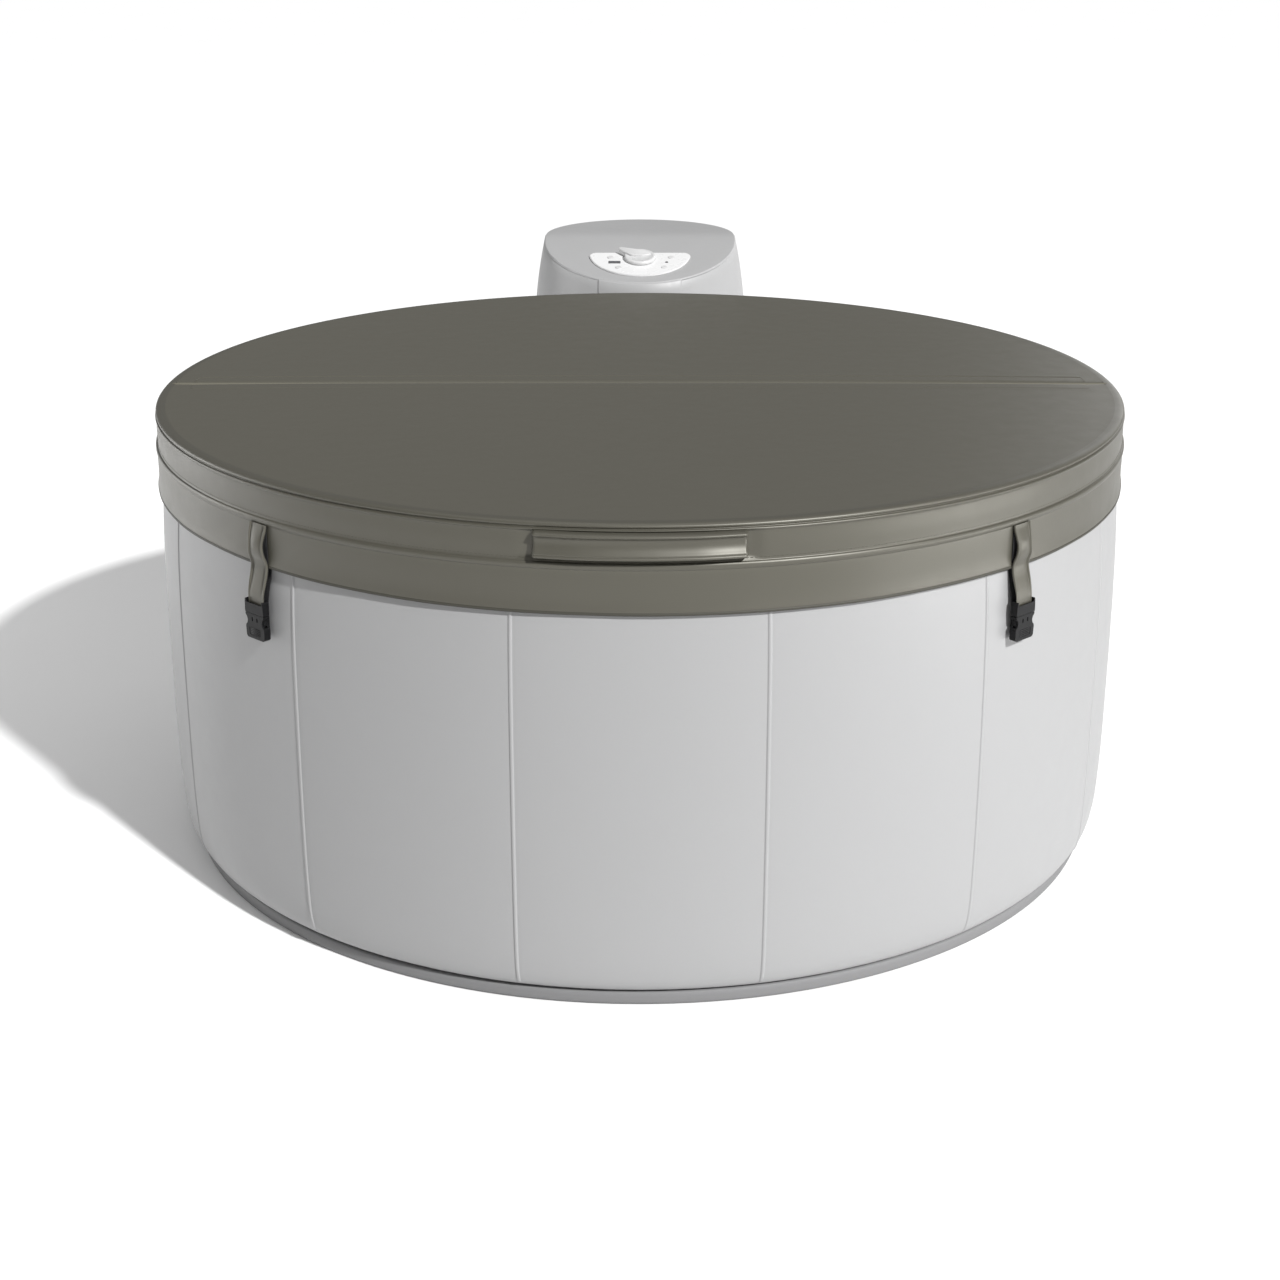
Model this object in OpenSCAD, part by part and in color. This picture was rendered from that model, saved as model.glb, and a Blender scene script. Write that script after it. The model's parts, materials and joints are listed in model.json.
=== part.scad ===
// Soft-sided inflatable hot tub with a bi-fold insulated cover and a
// free-standing pump, heater and control tower.
// Frame: millimetres, +Z up, origin on the ground at the centre of the tub's
// base. The front of the tub faces -Y and the tower stands behind it on +Y.

/* [Tub] */
// Number of vertical wall panels, each ending in a welded seam
panels = 14; // [14:14:28]
// Radius of the basin, inside face of the liner
basin_r = 600; // [590:1:602]
// Thickness of each vinyl skin
skin_t = 3; // [2.4:0.1:3]
// Radius of the raised welt on each wall seam
welt_r = 3.2; // [2:0.1:3.4]

/* [Cover] */
// Outer radius of the cover's padded panels
cover_r = 750; // [748:0.5:751]
// Height of the cover's top face above the ground
cover_top = 695; // [690:1:697]
// Height of the cover's underside above the ground
cover_under = 647; // [647:0.5:650]
// Height of the bottom edge of the skirt
skirt_z = 573; // [565:1:590]
// Angle of each buckle strap from the front centre line
strap_a = 43; // [36:1:50]
// Width of each vinyl strap
strap_w = 34; // [30:1:34]
// Half angle that the carry handle spans
handle_a = 10.4; // [8:0.1:11]

/* [Tower] */
// Distance of the tower's axis behind the tub's centre
tower_y = 1045; // [1043:1:1048]
// Slope of the front half of the tower's top
slope_a = 15.6; // [15.6:0.1:16]
// Radius of the half-round control panel
panel_r = 102; // [98:0.5:104]
// Radius of the control knob's disc
knob_r = 30; // [27:0.5:30]
// Travel of each push button
button_travel = 1.2; // [0.8:0.1:1.2]

/* [Plumbing] */
// Height of the pump and suction line
suction_z = 170; // [170:1:172]
// Height of the jets and the return line
jet_z = 380; // [378:1:382]
// Sideways offset of the return line
return_x = 48; // [47:0.5:49]

/* [Hidden] */
$fn = 96;
eps = 0.01;
jacket_c = [0.80, 0.80, 0.81];
liner_c = [0.62, 0.72, 0.78];
cover_c = [0.42, 0.41, 0.37];
black_c = [0.06, 0.06, 0.065];
tower_c = [0.72, 0.72, 0.73];
cap_c = [0.62, 0.62, 0.63];
white_c = [0.88, 0.88, 0.88];
dark_c = [0.33, 0.33, 0.34];

// Outer face of the wall in (radius, height), from under the wall, round the
// bottom edge, up the bulging side and over the rim to the basin's edge
wall_path = [[610, 20.3], [718, 20.3], [729, 21.6], [738, 26], [745, 34], [750, 46],
  [753, 65], [755, 110], [756, 200], [756, 300], [755, 400], [752.5, 500], [747.5, 560],
  [744.5, 604], [740.5, 620], [733, 635], [722, 643], [708, 646], [604, 646]];
function nrm(a, b) = let (d = b - a, l = norm(d)) [-d[1] / l, d[0] / l];
function off(p, d) = [for (i = [0:len(p) - 1])
  p[i] + d * nrm(p[max(i - 1, 0)], p[min(i + 1, len(p) - 1)])];
function rev(p) = [for (i = [len(p) - 1:-1:0]) p[i]];
// The wall face's radius at a height, for parts that follow it
side_path = [for (p = wall_path) if (p[1] > 21 && p[1] < 646) [p[1], p[0]]];
function wall_r(z) = lookup(z, side_path);

// Tower's outer face, (radius, height)
tower_path = [[223, 24.3], [225.5, 60], [226.5, 140], [226.5, 300], [225.5, 400],
  [222.5, 500], [218, 580], [212, 645], [206, 690], [199, 728], [193, 757]];
fold_y = tower_y + 8;
cap_z = 757;
function cap_h(y) = y > fold_y ? cap_z : cap_z - (fold_y - y) * tan(slope_a);
panel_y = tower_y - 84;
panel_z = cap_h(panel_y);
knob_v = -29;
button_at = [[-59, -22], [-43, -67], [62, -22], [48, -66]];

pitch = 360 / panels;
first_seam = -90 + pitch / 2;
jet_at = [90 + pitch, 90 - pitch];
manifold_r = 670;
manifold_y = sqrt(manifold_r * manifold_r - return_x * return_x);
port_y = 782;
seam_gap = 1.5;
hinge_z = 700;
drain_at = first_seam + 8.5 * pitch;
drain_z = 88;
valve_at = first_seam + 4.5 * pitch;
valve_z = 250;

module along_y(x, z, r, y0, y1) {
  translate([x, y0, z]) rotate([-90, 0, 0]) cylinder(r = r, h = y1 - y0);
}
module ring_y(x, z, ro, ri, y0, y1) {
  difference() {
    along_y(x, z, ro, y0, y1);
    along_y(x, z, ri, y0 - 1, y1 + 1);
  }
}
module radial(a, z) { rotate([0, 0, a]) translate([0, 0, z]) rotate([0, 90, 0]) children(); }
module wall_holes(outer = true, inner = true) {
  if (inner) {
    for (a = jet_at) radial(a, jet_z) translate([0, 0, 590]) cylinder(r = 24.3, h = 30);
    radial(drain_at, drain_z) translate([0, 0, 590]) cylinder(r = 15.3, h = 30);
  }
  if (outer) {
    along_y(return_x, jet_z, 16.3, 700, 780);
    radial(drain_at, drain_z) translate([0, 0, 700]) cylinder(r = 15.3, h = 80);
    radial(valve_at, valve_z) translate([0, 0, 700]) cylinder(r = 20.3, h = 80);
  }
  along_y(0, suction_z, 25.3, 560, 780);
}

// ---- Tub ----
module base_pad() {
  color(dark_c) rotate_extrude($fn = 180)
    polygon([[0, 0], [728, 0], [733, 3], [736, 9], [736.5, 15], [735, 20], [0, 20]]);
}
module outer_jacket() {
  color(jacket_c) difference() {
    rotate_extrude($fn = 180) polygon(concat(wall_path, rev(off(wall_path, skin_t))));
    wall_holes(inner = false);
  }
}
module wall_bladder() {
  q = off(wall_path, skin_t + 0.3);
  v = [for (p = off(wall_path, 2 * skin_t + 0.3)) [max(p[0], 606.8), p[1]]];
  color([0.7, 0.7, 0.72]) difference() {
    rotate_extrude($fn = 180) polygon(concat([[603.8, q[0][1]]], q, [[603.8, q[len(q) - 1][1]]]));
    rotate_extrude($fn = 180) polygon(concat([[606.8, v[0][1]]], v));
    wall_holes();
  }
}
module tension_webs() {
  v = [for (p = off(wall_path, 2 * skin_t + 0.8)) [max(p[0], 607.2), p[1]]];
  color([0.75, 0.75, 0.76]) for (i = [0:panels - 1]) rotate([0, 0, first_seam + i * pitch])
    rotate([90, 0, 0]) translate([0, 0, -1.2]) linear_extrude(2.4) difference() {
      polygon(concat([[607.2, v[0][1]]], v));
      translate([manifold_r, jet_z]) circle(r = 18);
      for (z = [110, 245, 515]) translate([manifold_r, z]) circle(r = 22);
    }
}
module seam_welts() {
  pts = [for (p = wall_path) if (p[1] > 25 && p[1] < 640) p];
  f = off(pts, -0.2);
  b = off(pts, -welt_r);
  color(jacket_c) {
    for (i = [0:panels - 1]) rotate([0, 0, first_seam + i * pitch])
      rotate([90, 0, 0]) translate([0, 0, -2.4]) linear_extrude(4.8) polygon(concat(f, rev(b)));
    rotate_extrude($fn = 180) translate([basin_r - 4.2, 640]) circle(r = 4, $fn = 24);
  }
}
module inner_liner() {
  color(liner_c) difference() {
    rotate_extrude($fn = 180) polygon([[0, 20.3], [603.4, 20.3], [603.4, 646], [basin_r, 646],
      [basin_r, 56], [basin_r - 3, 42], [basin_r - 10, 30], [basin_r - 22, 24.2], [0, 23.3]]);
    wall_holes(outer = false);
  }
}

// ---- Water and air fittings on the tub ----
module jet_manifold() {
  a0 = jet_at[1] - 3;
  a1 = jet_at[0] + 3;
  color(white_c) difference() {
    rotate([0, 0, a0]) translate([0, 0, jet_z]) rotate_extrude(angle = a1 - a0, $fn = 180)
      translate([manifold_r, 0]) circle(r = 14);
    rotate([0, 0, a0 + 1]) translate([0, 0, jet_z]) rotate_extrude(angle = a1 - a0 - 2, $fn = 180)
      translate([manifold_r, 0]) circle(r = 10.5);
    for (a = jet_at) radial(a, jet_z) translate([0, 0, 640]) cylinder(r = 8, h = 30);
    along_y(return_x, jet_z, 10, manifold_y, 700);
  }
}
module jet_bodies() {
  color(white_c) for (a = jet_at) radial(a, jet_z) difference() {
    union() {
      translate([0, 0, 588]) cylinder(r1 = 29, r2 = 33, h = 3);
      translate([0, 0, 591]) cylinder(r = 33, h = 8);
      translate([0, 0, 595]) cylinder(r = 24, h = 35);
      translate([0, 0, 629]) cylinder(r = 12, h = 26.8);
    }
    translate([0, 0, 580]) cylinder(r = 20.3, h = 26);
    translate([0, 0, 600]) cylinder(r = 8, h = 70);
  }
}
module jet_nozzle(i) {
  color([0.55, 0.57, 0.6]) radial(jet_at[i], jet_z) difference() {
    union() {
      translate([0, 0, 584]) cylinder(r1 = 15, r2 = 20, h = 5);
      translate([0, 0, 589]) cylinder(r = 20, h = 16.6);
    }
    translate([6, 0, 578]) rotate([0, 14, 0]) cylinder(r = 6.5, h = 40);
    for (k = [0:5]) rotate([0, 0, 30 + k * 60]) translate([15.5, -1.5, 580]) cube([8, 3, 8]);
  }
}
module suction_pipe() {
  color(white_c) difference() {
    union() {
      along_y(0, suction_z, 25, 588, port_y - 0.3);
      along_y(0, suction_z, 40, 586, 598.4);
      along_y(0, suction_z, 29, port_y - 9, port_y - 0.3);
    }
    along_y(0, suction_z, 21, 560, 800);
  }
}
module filter_basket() {
  color(white_c) difference() {
    along_y(0, suction_z, 62, 478, 585.7);
    along_y(0, suction_z, 58, 482, 582);
    along_y(0, suction_z, 21, 575, 600);
    for (a = [0:15:345]) translate([0, 0, suction_z]) rotate([0, a, 0])
      translate([54, 492, -3]) cube([12, 80, 6]);
    for (k = [-3:3]) translate([-38, 470, suction_z + k * 11 - 2]) cube([76, 16, 4]);
  }
}
module filter_cartridge() {
  n = 40;
  color([0.9, 0.91, 0.93]) union() {
    translate([0, 488, suction_z]) rotate([-90, 0, 0]) linear_extrude(84) difference() {
      polygon([for (i = [0:2 * n - 1]) let (r = i % 2 == 0 ? 53 : 44) [r * cos(i * 180 / n), r * sin(i * 180 / n)]]);
      circle(r = 22);
    }
    ring_y(0, suction_z, 55, 21.5, 483, 489);
    ring_y(0, suction_z, 55, 21.5, 571, 577);
  }
}
module return_pipe() {
  color(white_c) difference() {
    union() {
      along_y(return_x, jet_z, 16, manifold_y + 14.6, port_y - 0.3);
      along_y(return_x, jet_z, 20, port_y - 9, port_y - 0.3);
    }
    along_y(return_x, jet_z, 12, 660, 800);
  }
}
// Screwed on the tower's stub; its lip draws up the flange of the tub's pipe
module union_nut(x, z, r) {
  color(dark_c) difference() {
    union() {
      along_y(x, z, r + 12, port_y - 14, port_y + 12);
      for (a = [0:45:315]) translate([x, port_y - 12, z]) rotate([0, a, 0])
        translate([r + 8, 0, -3.5]) cube([7, 22, 7]);
    }
    along_y(x, z, r + 4.3, port_y - 9.3, port_y + 20);
    along_y(x, z, r + 0.3, port_y - 20, port_y + 20);
  }
}
module drain_body() {
  color(white_c) radial(drain_at, drain_z) difference() {
    union() {
      translate([0, 0, 590]) cylinder(r = 24, h = 9.3);
      translate([0, 0, 590]) cylinder(r = 15, h = 190);
      translate([0, 0, 757.2]) cylinder(r = 26, h = 4);
    }
    translate([0, 0, 580]) cylinder(r = 11, h = 220);
  }
}
module drain_cap() {
  color(dark_c) radial(drain_at, drain_z) difference() {
    union() {
      translate([0, 0, 764]) cylinder(r = 20, h = 21);
      for (a = [0:30:330]) rotate([0, 0, a]) translate([18.5, -1.5, 765]) cube([3, 3, 19]);
    }
    translate([0, 0, 760]) cylinder(r = 15.4, h = 20.6);
  }
}
module air_valve_body() {
  color(white_c) radial(valve_at, valve_z) difference() {
    union() {
      translate([0, 0, 735]) cylinder(r = 20, h = 24);
      translate([0, 0, 757.5]) cylinder(r = 34, h = 3);
      translate([0, 0, 757.5]) cylinder(r = 22, h = 9);
    }
    translate([0, 0, 742]) cylinder(r = 15, h = 40);
    translate([0, 0, 730]) cylinder(r = 5, h = 40);
  }
}
module air_valve_cap() {
  color(dark_c) radial(valve_at, valve_z) difference() {
    union() {
      translate([0, 0, 762]) cylinder(r = 27, h = 9);
      translate([0, 0, 767]) cylinder(r = 14.4, h = 7);
      for (a = [0:20:340]) rotate([0, 0, a]) translate([25.5, -1.5, 763]) cube([3, 3, 7]);
    }
    translate([0, 0, 760]) cylinder(r = 22.4, h = 7);
  }
}

// ---- Tower ----
module tower_solid(d = 0) {
  p = off(tower_path, d);
  translate([0, tower_y, 0]) rotate_extrude($fn = 180)
    polygon(concat([[0, p[0][1]]], p, [[p[len(p) - 1][0], 800], [0, 800]]));
}
module under_cap(d) {
  translate([-300, 0, 0]) rotate([90, 0, 90]) linear_extrude(600)
    polygon([[760, 0], [1300, 0], [1300, cap_z - d], [fold_y, cap_z - d], [760, cap_h(760) - d]]);
}
module tower_shell() {
  intersection() {
    difference() {
      tower_solid();
      translate([0, 0, -1]) tower_solid(4);
    }
    under_cap(6.6);
  }
}
module pipe_ports(extra = 0.4) {
  along_y(0, suction_z, 25 + extra, 790, 850);
  along_y(return_x, jet_z, 16 + extra, 790, 850);
}
module tower_body() {
  color(tower_c) difference() {
    tower_shell();
    translate([-80, 700, 0]) cube([160, tower_y - 700, 800]);
    for (k = [0:7]) translate([-62, tower_y + 150, 330 + k * 17]) cube([124, 100, 7]);
    along_y(0, 70, 11.3, tower_y + 165, tower_y + 265);
    for (a = [30, 90, 150]) translate([0, tower_y, cap_z - 14]) rotate([0, 0, a]) rotate([0, 90, 0])
      cylinder(r = 1.7, h = 250);
  }
}
module tower_front_panel() {
  color(tower_c) difference() {
    intersection() {
      tower_shell();
      translate([-79.6, 700, 24.3]) cube([159.2, tower_y - 700, 800]);
    }
    pipe_ports();
  }
}
module tower_base() {
  color(dark_c) union() {
    translate([0, tower_y, 0]) cylinder(r1 = 214, r2 = 219, h = 6, $fn = 180);
    translate([0, tower_y, 6]) cylinder(r = 219, h = 18, $fn = 180);
    for (y = [975, 1075]) difference() {
      translate([-50, y - 8, 23]) cube([100, 16, 110]);
      along_y(0, suction_z, 62.3, y - 20, y + 20);
    }
  }
}
module slope() { translate([0, panel_y, panel_z]) rotate([slope_a, 0, 0]) children(); }
module tower_cap() {
  color(cap_c) difference() {
    intersection() {
      tower_solid();
      difference() { under_cap(0); translate([0, 0, -1]) under_cap(5); }
    }
    intersection() { tower_solid(7); under_cap(3.2); }
    slope() {
      for (b = button_at) translate([b[0], b[1], -20]) cylinder(r = 3, h = 30);
      translate([0, knob_v, -20]) cylinder(r = 6.4, h = 30);
    }
  }
}
module half_moon(r, c) {
  // Half disc whose two upper corners are rounded with radius c
  x = sqrt((r - c) * (r - c) - c * c);
  difference() {
    intersection() {
      circle(r = r);
      translate([-r, -r]) square([2 * r, r]);
    }
    for (s = [-1, 1]) difference() {
      translate([s > 0 ? x : -r - 1, -c]) square([r + 1 - x, c + 1]);
      translate([s * x, -c]) circle(r = c);
    }
  }
}
module control_panel() {
  color(white_c) slope() difference() {
    union() {
      translate([0, 0, 0.05]) linear_extrude(2) half_moon(panel_r, 14);
      translate([0, 0, 2]) linear_extrude(1.2) translate([0, -1]) half_moon(panel_r - 1.6, 13);
    }
    for (b = button_at) translate([b[0], b[1], -1]) cylinder(r = 6.4, h = 8);
    translate([0, knob_v, -1]) cylinder(r = 6.4, h = 8);
    translate([-63.2, -49.7, 1.4]) cube([24.4, 11.4, 4]);
    translate([53, -44, 1.4]) cylinder(r = 3.2, h = 4);
  }
}
module display_windows() {
  color([0.05, 0.06, 0.06]) slope() {
    translate([-63, -49.5, 1.5]) cube([24, 11, 2]);
    translate([53, -44, 1.5]) cylinder(r = 3, h = 2.2);
  }
}
module button(i) {
  b = button_at[i];
  color([0.78, 0.79, 0.8]) slope() translate([b[0], b[1], 0]) {
    translate([0, 0, 1.6]) cylinder(r = 6, h = 2.2);
    translate([0, 0, 3.8]) cylinder(r1 = 6, r2 = 5.2, h = 0.6);
    translate([0, 0, -11]) cylinder(r = 2.5, h = 12.8);
  }
}
module control_knob() {
  color(white_c) slope() translate([0, knob_v, 0]) union() {
    translate([0, 0, 3.8]) cylinder(r = knob_r, h = 6.2);
    translate([0, 0, 10]) cylinder(r1 = knob_r, r2 = knob_r - 1.4, h = 1.4);
    // Tall fin that ends in the pointer
    translate([0, 0, 3.8]) linear_extrude(12.6)
      polygon([[-43, 22], [-41.5, 26.5], [-37, 27.5], [2, 22], [21, 12], [21, 3], [4, -5], [-20, -4]]);
    translate([0, 0, -24]) cylinder(r = 6, h = 28);
  }
}
module control_board() {
  color([0.12, 0.33, 0.2]) slope() difference() {
    union() {
      translate([-72, -78, -18]) cube([144, 70, 1.6]);
      for (b = button_at) translate([b[0], b[1], -16.6]) cylinder(r = 3.2, h = 3.8);
      translate([-66, -54, -16.6]) cube([30, 20, 6]);
    }
    translate([0, knob_v, -30]) cylinder(r = 8, h = 30);
  }
}
module pump_motor() {
  color([0.45, 0.46, 0.48]) difference() {
    union() {
      along_y(0, suction_z, 62, 941, 1110);
      for (a = [0:20:340]) if (abs(a - 90) > 45) translate([0, 0, suction_z]) rotate([0, a, 0])
        translate([60, 992, -1.5]) cube([8, 66, 3]);
    }
    along_y(0, suction_z, 41, 956, 1096);
    along_y(0, suction_z, 16, 944, 1108);
    along_y(0, suction_z, 9.5, 930, 950);
  }
}
module shaft_bearings() {
  color([0.7, 0.7, 0.72]) {
    ring_y(0, suction_z, 15.97, 8.03, 945, 955);
    ring_y(0, suction_z, 15.97, 8.03, 1097, 1107);
  }
}
module motor_shaft() {
  color([0.75, 0.75, 0.77]) union() {
    along_y(0, suction_z, 8, 893, 1107.5);
    along_y(0, suction_z, 39, 968, 1084);
  }
}
module pump_impeller() {
  color([0.2, 0.2, 0.22]) difference() {
    union() {
      along_y(0, suction_z, 55, 911, 915);
      along_y(0, suction_z, 14, 897, 911);
      intersection() {
        for (a = [0:60:300]) translate([0, 0, suction_z]) rotate([0, a, 0])
          translate([10, 898, -2]) rotate([0, 12, 0]) cube([46, 13.5, 4]);
        along_y(0, suction_z, 54, 890, 914);
      }
    }
    along_y(0, suction_z, 8.02, 880, 920);
  }
}
module pump_volute() {
  color(black_c) difference() {
    union() {
      along_y(0, suction_z, 76, 884, 938);
      along_y(0, suction_z, 25, port_y, 890);
      along_y(0, suction_z, 29, port_y, port_y + 9);
      translate([return_x, 903, suction_z]) cylinder(r = 16, h = 76);
    }
    along_y(0, suction_z, 60, 890, 918);
    along_y(0, suction_z, 21, 770, 895);
    along_y(0, suction_z, 8.6, 915, 945);
    translate([return_x, 903, suction_z]) cylinder(r = 11.5, h = 80);
  }
}
module heater_tube() {
  color([0.7, 0.7, 0.72]) translate([return_x, 903, 0]) difference() {
    translate([0, 0, 246.3]) cylinder(r = 27, h = 98.4);
    translate([0, 0, 251]) cylinder(r = 23, h = 89);
    translate([0, 0, 240]) cylinder(r = 11.5, h = 120);
  }
}
module heater_outlet_pipe() {
  color(white_c) difference() {
    union() {
      translate([return_x, 903, 345]) cylinder(r = 16, h = jet_z - 345);
      translate([return_x, 903, jet_z]) sphere(r = 16);
      along_y(return_x, jet_z, 16, port_y, 903);
      along_y(return_x, jet_z, 20, port_y, port_y + 9);
    }
    translate([return_x, 903, 340]) cylinder(r = 11.5, h = jet_z - 340);
    along_y(return_x, jet_z, 11.5, 770, 903);
  }
}
module cable_gland() {
  color(black_c) difference() {
    union() {
      along_y(0, 70, 11, tower_y + 215, tower_y + 229);
      along_y(0, 70, 15, tower_y + 227, tower_y + 233);
      along_y(0, 70, 12, tower_y + 233, tower_y + 249);
    }
    along_y(0, 70, 4, tower_y + 205, tower_y + 255);
  }
}

// ---- Cover ----
// The half discs below are drawn for the front, y below -seam_gap; the rear
// half is the same shape turned half a turn
module front_of(g = 0) {
  intersection() {
    children();
    translate([-900, -900 - seam_gap - g, 400]) cube([1800, 900, 500]);
  }
}
module cover_skin() {
  difference() {
    front_of() rotate_extrude($fn = 180) polygon([[0, cover_under], [cover_r - 3, cover_under],
      [cover_r, cover_under + 3], [cover_r, cover_top - 6], [cover_r - 2, cover_top - 2], [cover_r - 6, cover_top], [0, cover_top]]);
    front_of(-5) translate([0, 0, cover_under + skin_t]) cylinder(r = cover_r - 4, h = cover_top - cover_under - 2 * skin_t, $fn = 180);
  }
}
module cover_foam() {
  front_of() translate([0, 0, cover_under + skin_t + 0.3])
    cylinder(r = cover_r - 4.4, h = cover_top - cover_under - 2 * skin_t - 0.6, $fn = 180);
}
module cover_skirt() {
  front_of() rotate_extrude($fn = 180) polygon([[cover_r, skirt_z], [cover_r + 2.5, skirt_z],
    [cover_r + 2.5, cover_under - 4.6], [cover_r, cover_under - 4.6]]);
}
module cover_piping() {
  front_of() difference() {
    rotate_extrude($fn = 180) {
      translate([cover_r + 3, skirt_z + 65]) circle(r = 3.6, $fn = 24);
      translate([cover_r + 0.6, cover_top - 10.5]) circle(r = 2.2, $fn = 24);
    }
    translate([0, 0, skirt_z]) cylinder(r = cover_r + 2.52, h = cover_under - 3 - skirt_z, $fn = 180);
    translate([0, 0, cover_under - 4]) cylinder(r = cover_r + 0.02, h = 60, $fn = 180);
  }
}
module rear() { rotate([0, 0, 180]) children(); }
module cover_fold_welt() {
  color([0.6, 0.59, 0.54]) translate([-742, 0, 698.2]) rotate([0, 90, 0]) cylinder(r = 2.6, h = 1484, $fn = 32);
}
// Padded grip: the middle stands off the band, and both ends are sewn to it
module carry_handle() {
  r0 = cover_r + 0.3;
  zc = (cover_top - 8 + cover_under) / 2;
  color(cover_c) {
    rotate([0, 0, -90 - handle_a]) rotate_extrude(angle = 2 * handle_a, $fn = 180)
      polygon([[r0 + 12, zc - 17], [r0 + 17, zc - 17], [r0 + 19.5, zc - 15.5], [r0 + 19.5, zc - 12.5], [r0 + 18, zc - 10],
        [r0 + 17.4, zc], [r0 + 18, zc + 10], [r0 + 19.5, zc + 12.5], [r0 + 19.5, zc + 15.5], [r0 + 17, zc + 17], [r0 + 12, zc + 17]]);
    for (s = [-1, 1]) rotate([0, 0, -90 + s * (handle_a - 0.6) - 0.6]) rotate_extrude(angle = 1.2, $fn = 180)
      translate([r0, zc - 13]) square([12.4, 26]);
  }
}

// ---- Straps and side-release buckles ----
// at(s) turns a shape drawn at the front centre, with -Y outward, to a strap
module at(s) { rotate([0, 0, s * strap_a]) children(); }
// Extrudes a strip whose centre line is (outward distance, height) to width w
module strip(c, t, w) {
  translate([-w / 2, 0, 0]) rotate([90, 0, 90]) linear_extrude(w)
    polygon([for (p = concat(off(c, t / 2), rev(off(c, -t / 2)))) [-p[0], p[1]]]);
}
strap_line = [[754.3, 633], [755.6, 627], [758.8, 619], [761.8, 610], [762.6, 601], [761, 592], [757.6, 584],
  [755.6, 577], [755.8, 571], [758, 561], [761.2, 551], [764, 542], [765.8, 534], [766, 526], [766, 519.5]];
// Webbing of the lower half: from a tab on the wall, down behind the skirt
web_line = [[746.6, 628], [746.8, 604], [747.8, 586], [748.7, 573], [750.6, 560], [753.6, 546],
  [756.2, 534], [757.5, 522], [757.8, 475]];
module strap(s) {
  at(s) color([0.50, 0.49, 0.44]) strip(strap_line, 2.2, strap_w);
}
pivot_z = 512.8;
pivot_x = 8.8;
module buckle_plug(s) {
  color(black_c) at(s) difference() {
    union() {
      translate([-20, -770.6, 508.4]) cube([40, 10.4, 20.2]);
      translate([-1.8, -767.4, 482]) cube([3.6, 4, 28]);
    }
    translate([-17.5, -768, 518.6]) cube([35, 4.6, 20]);
    // Slots that the two latch arms spring in
    for (m = [0, 1]) mirror([m, 0, 0]) {
      translate([pivot_x, -768.2, pivot_z]) rotate([-90, 0, 0]) cylinder(r = 2.5, h = 5.4);
      translate([3.9, -768.2, 500]) cube([11, 5.4, pivot_z - 500]);
    }
    for (x = [-20, 20]) translate([x, -780, 508.4]) rotate([0, 45, 0]) cube([3.2, 40, 3.2], center = true);
  }
}
module buckle_socket(s) {
  at(s) {
    color(black_c) difference() {
      translate([-20, -770.6, 472]) cube([40, 10.4, 36]);
      translate([-15.6, -768.4, 480]) cube([31.2, 5.8, 40]);
      // Side windows, under the two bridges that hold the latch arms
      translate([-30, -768.4, 490.9]) cube([60, 5.8, 13]);
      for (x = [-24.8, 24.8]) translate([x, -780, 497.4]) rotate([-90, 0, 0]) cylinder(r = 7.7, h = 30);
      for (x = [-5.2, 5.2]) translate([x - 1, -780, 497]) cube([2, 14, 6.4]);
      translate([-16, -763.2, 474.6]) cube([32, 5, 3.2]);
    }
    color(black_c) strip(web_line, 1.4, strap_w - 2);
  }
}
// One latch arm, drawn for the buckle's +x side and mirrored for the other
module prong(s, side) {
  color(black_c) at(s) mirror([side > 0 ? 0 : 1, 0, 0]) translate([0, -763.2, 0]) rotate([90, 0, 0]) union() {
    linear_extrude(4.6) polygon([[7.4, 512.2], [10.2, 512.2], [12.3, 506.7], [14.4, 503.5], [16.3, 503.1],
      [16.3, 493.6], [13.8, 492], [13.3, 487.3], [10.8, 482.8], [9.1, 483.7], [8.6, 499.9]]);
    translate([pivot_x, pivot_z, 0]) cylinder(r = 2.1, h = 4.6, $fn = 32);
  }
}

base_pad();
wall_bladder();
tension_webs();
outer_jacket();
seam_welts();
inner_liner();
jet_manifold();
jet_bodies();
suction_pipe();
return_pipe();
filter_basket();
filter_cartridge();
union_nut(0, suction_z, 25);  // union_nut_suction
union_nut(return_x, jet_z, 16);  // union_nut_return
drain_body();
drain_cap();
air_valve_body();
air_valve_cap();
jet_nozzle(0);  // jet_nozzle_left
jet_nozzle(1);  // jet_nozzle_right
tower_base();
tower_body();
tower_front_panel();
tower_cap();
control_panel();
display_windows();
control_board();
pump_motor();
shaft_bearings();
pump_volute();
heater_tube();
heater_outlet_pipe();
cable_gland();
control_knob();
button(0);  // button_1
button(1);  // button_2
button(2);  // button_3
button(3);  // button_4
motor_shaft();
pump_impeller();
color([0.9, 0.9, 0.88]) rear() cover_foam();  // cover_rear_foam
color(cover_c) rear() cover_skin();  // cover_rear_skin
color(cover_c) rear() cover_skirt();  // cover_rear_skirt
color(cover_c) rear() cover_piping();  // cover_rear_piping
cover_fold_welt();
color([0.9, 0.9, 0.88]) cover_foam();  // cover_front_foam
color(cover_c) cover_skin();  // cover_front_skin
color(cover_c) cover_skirt();  // cover_front_skirt
color(cover_c) cover_piping();  // cover_front_piping
carry_handle();
strap(-1);  // strap_left
buckle_plug(-1);  // buckle_plug_left
buckle_socket(-1);  // buckle_socket_left
strap(1);  // strap_right
buckle_plug(1);  // buckle_plug_right
buckle_socket(1);  // buckle_socket_right
prong(-1, -1);  // prong_left_outer
prong(-1, 1);  // prong_left_inner
prong(1, -1);  // prong_right_inner
prong(1, 1);  // prong_right_outer
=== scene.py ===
import json
import math

import bmesh
import bpy
import numpy as np
from mathutils import Matrix, Vector


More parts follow.
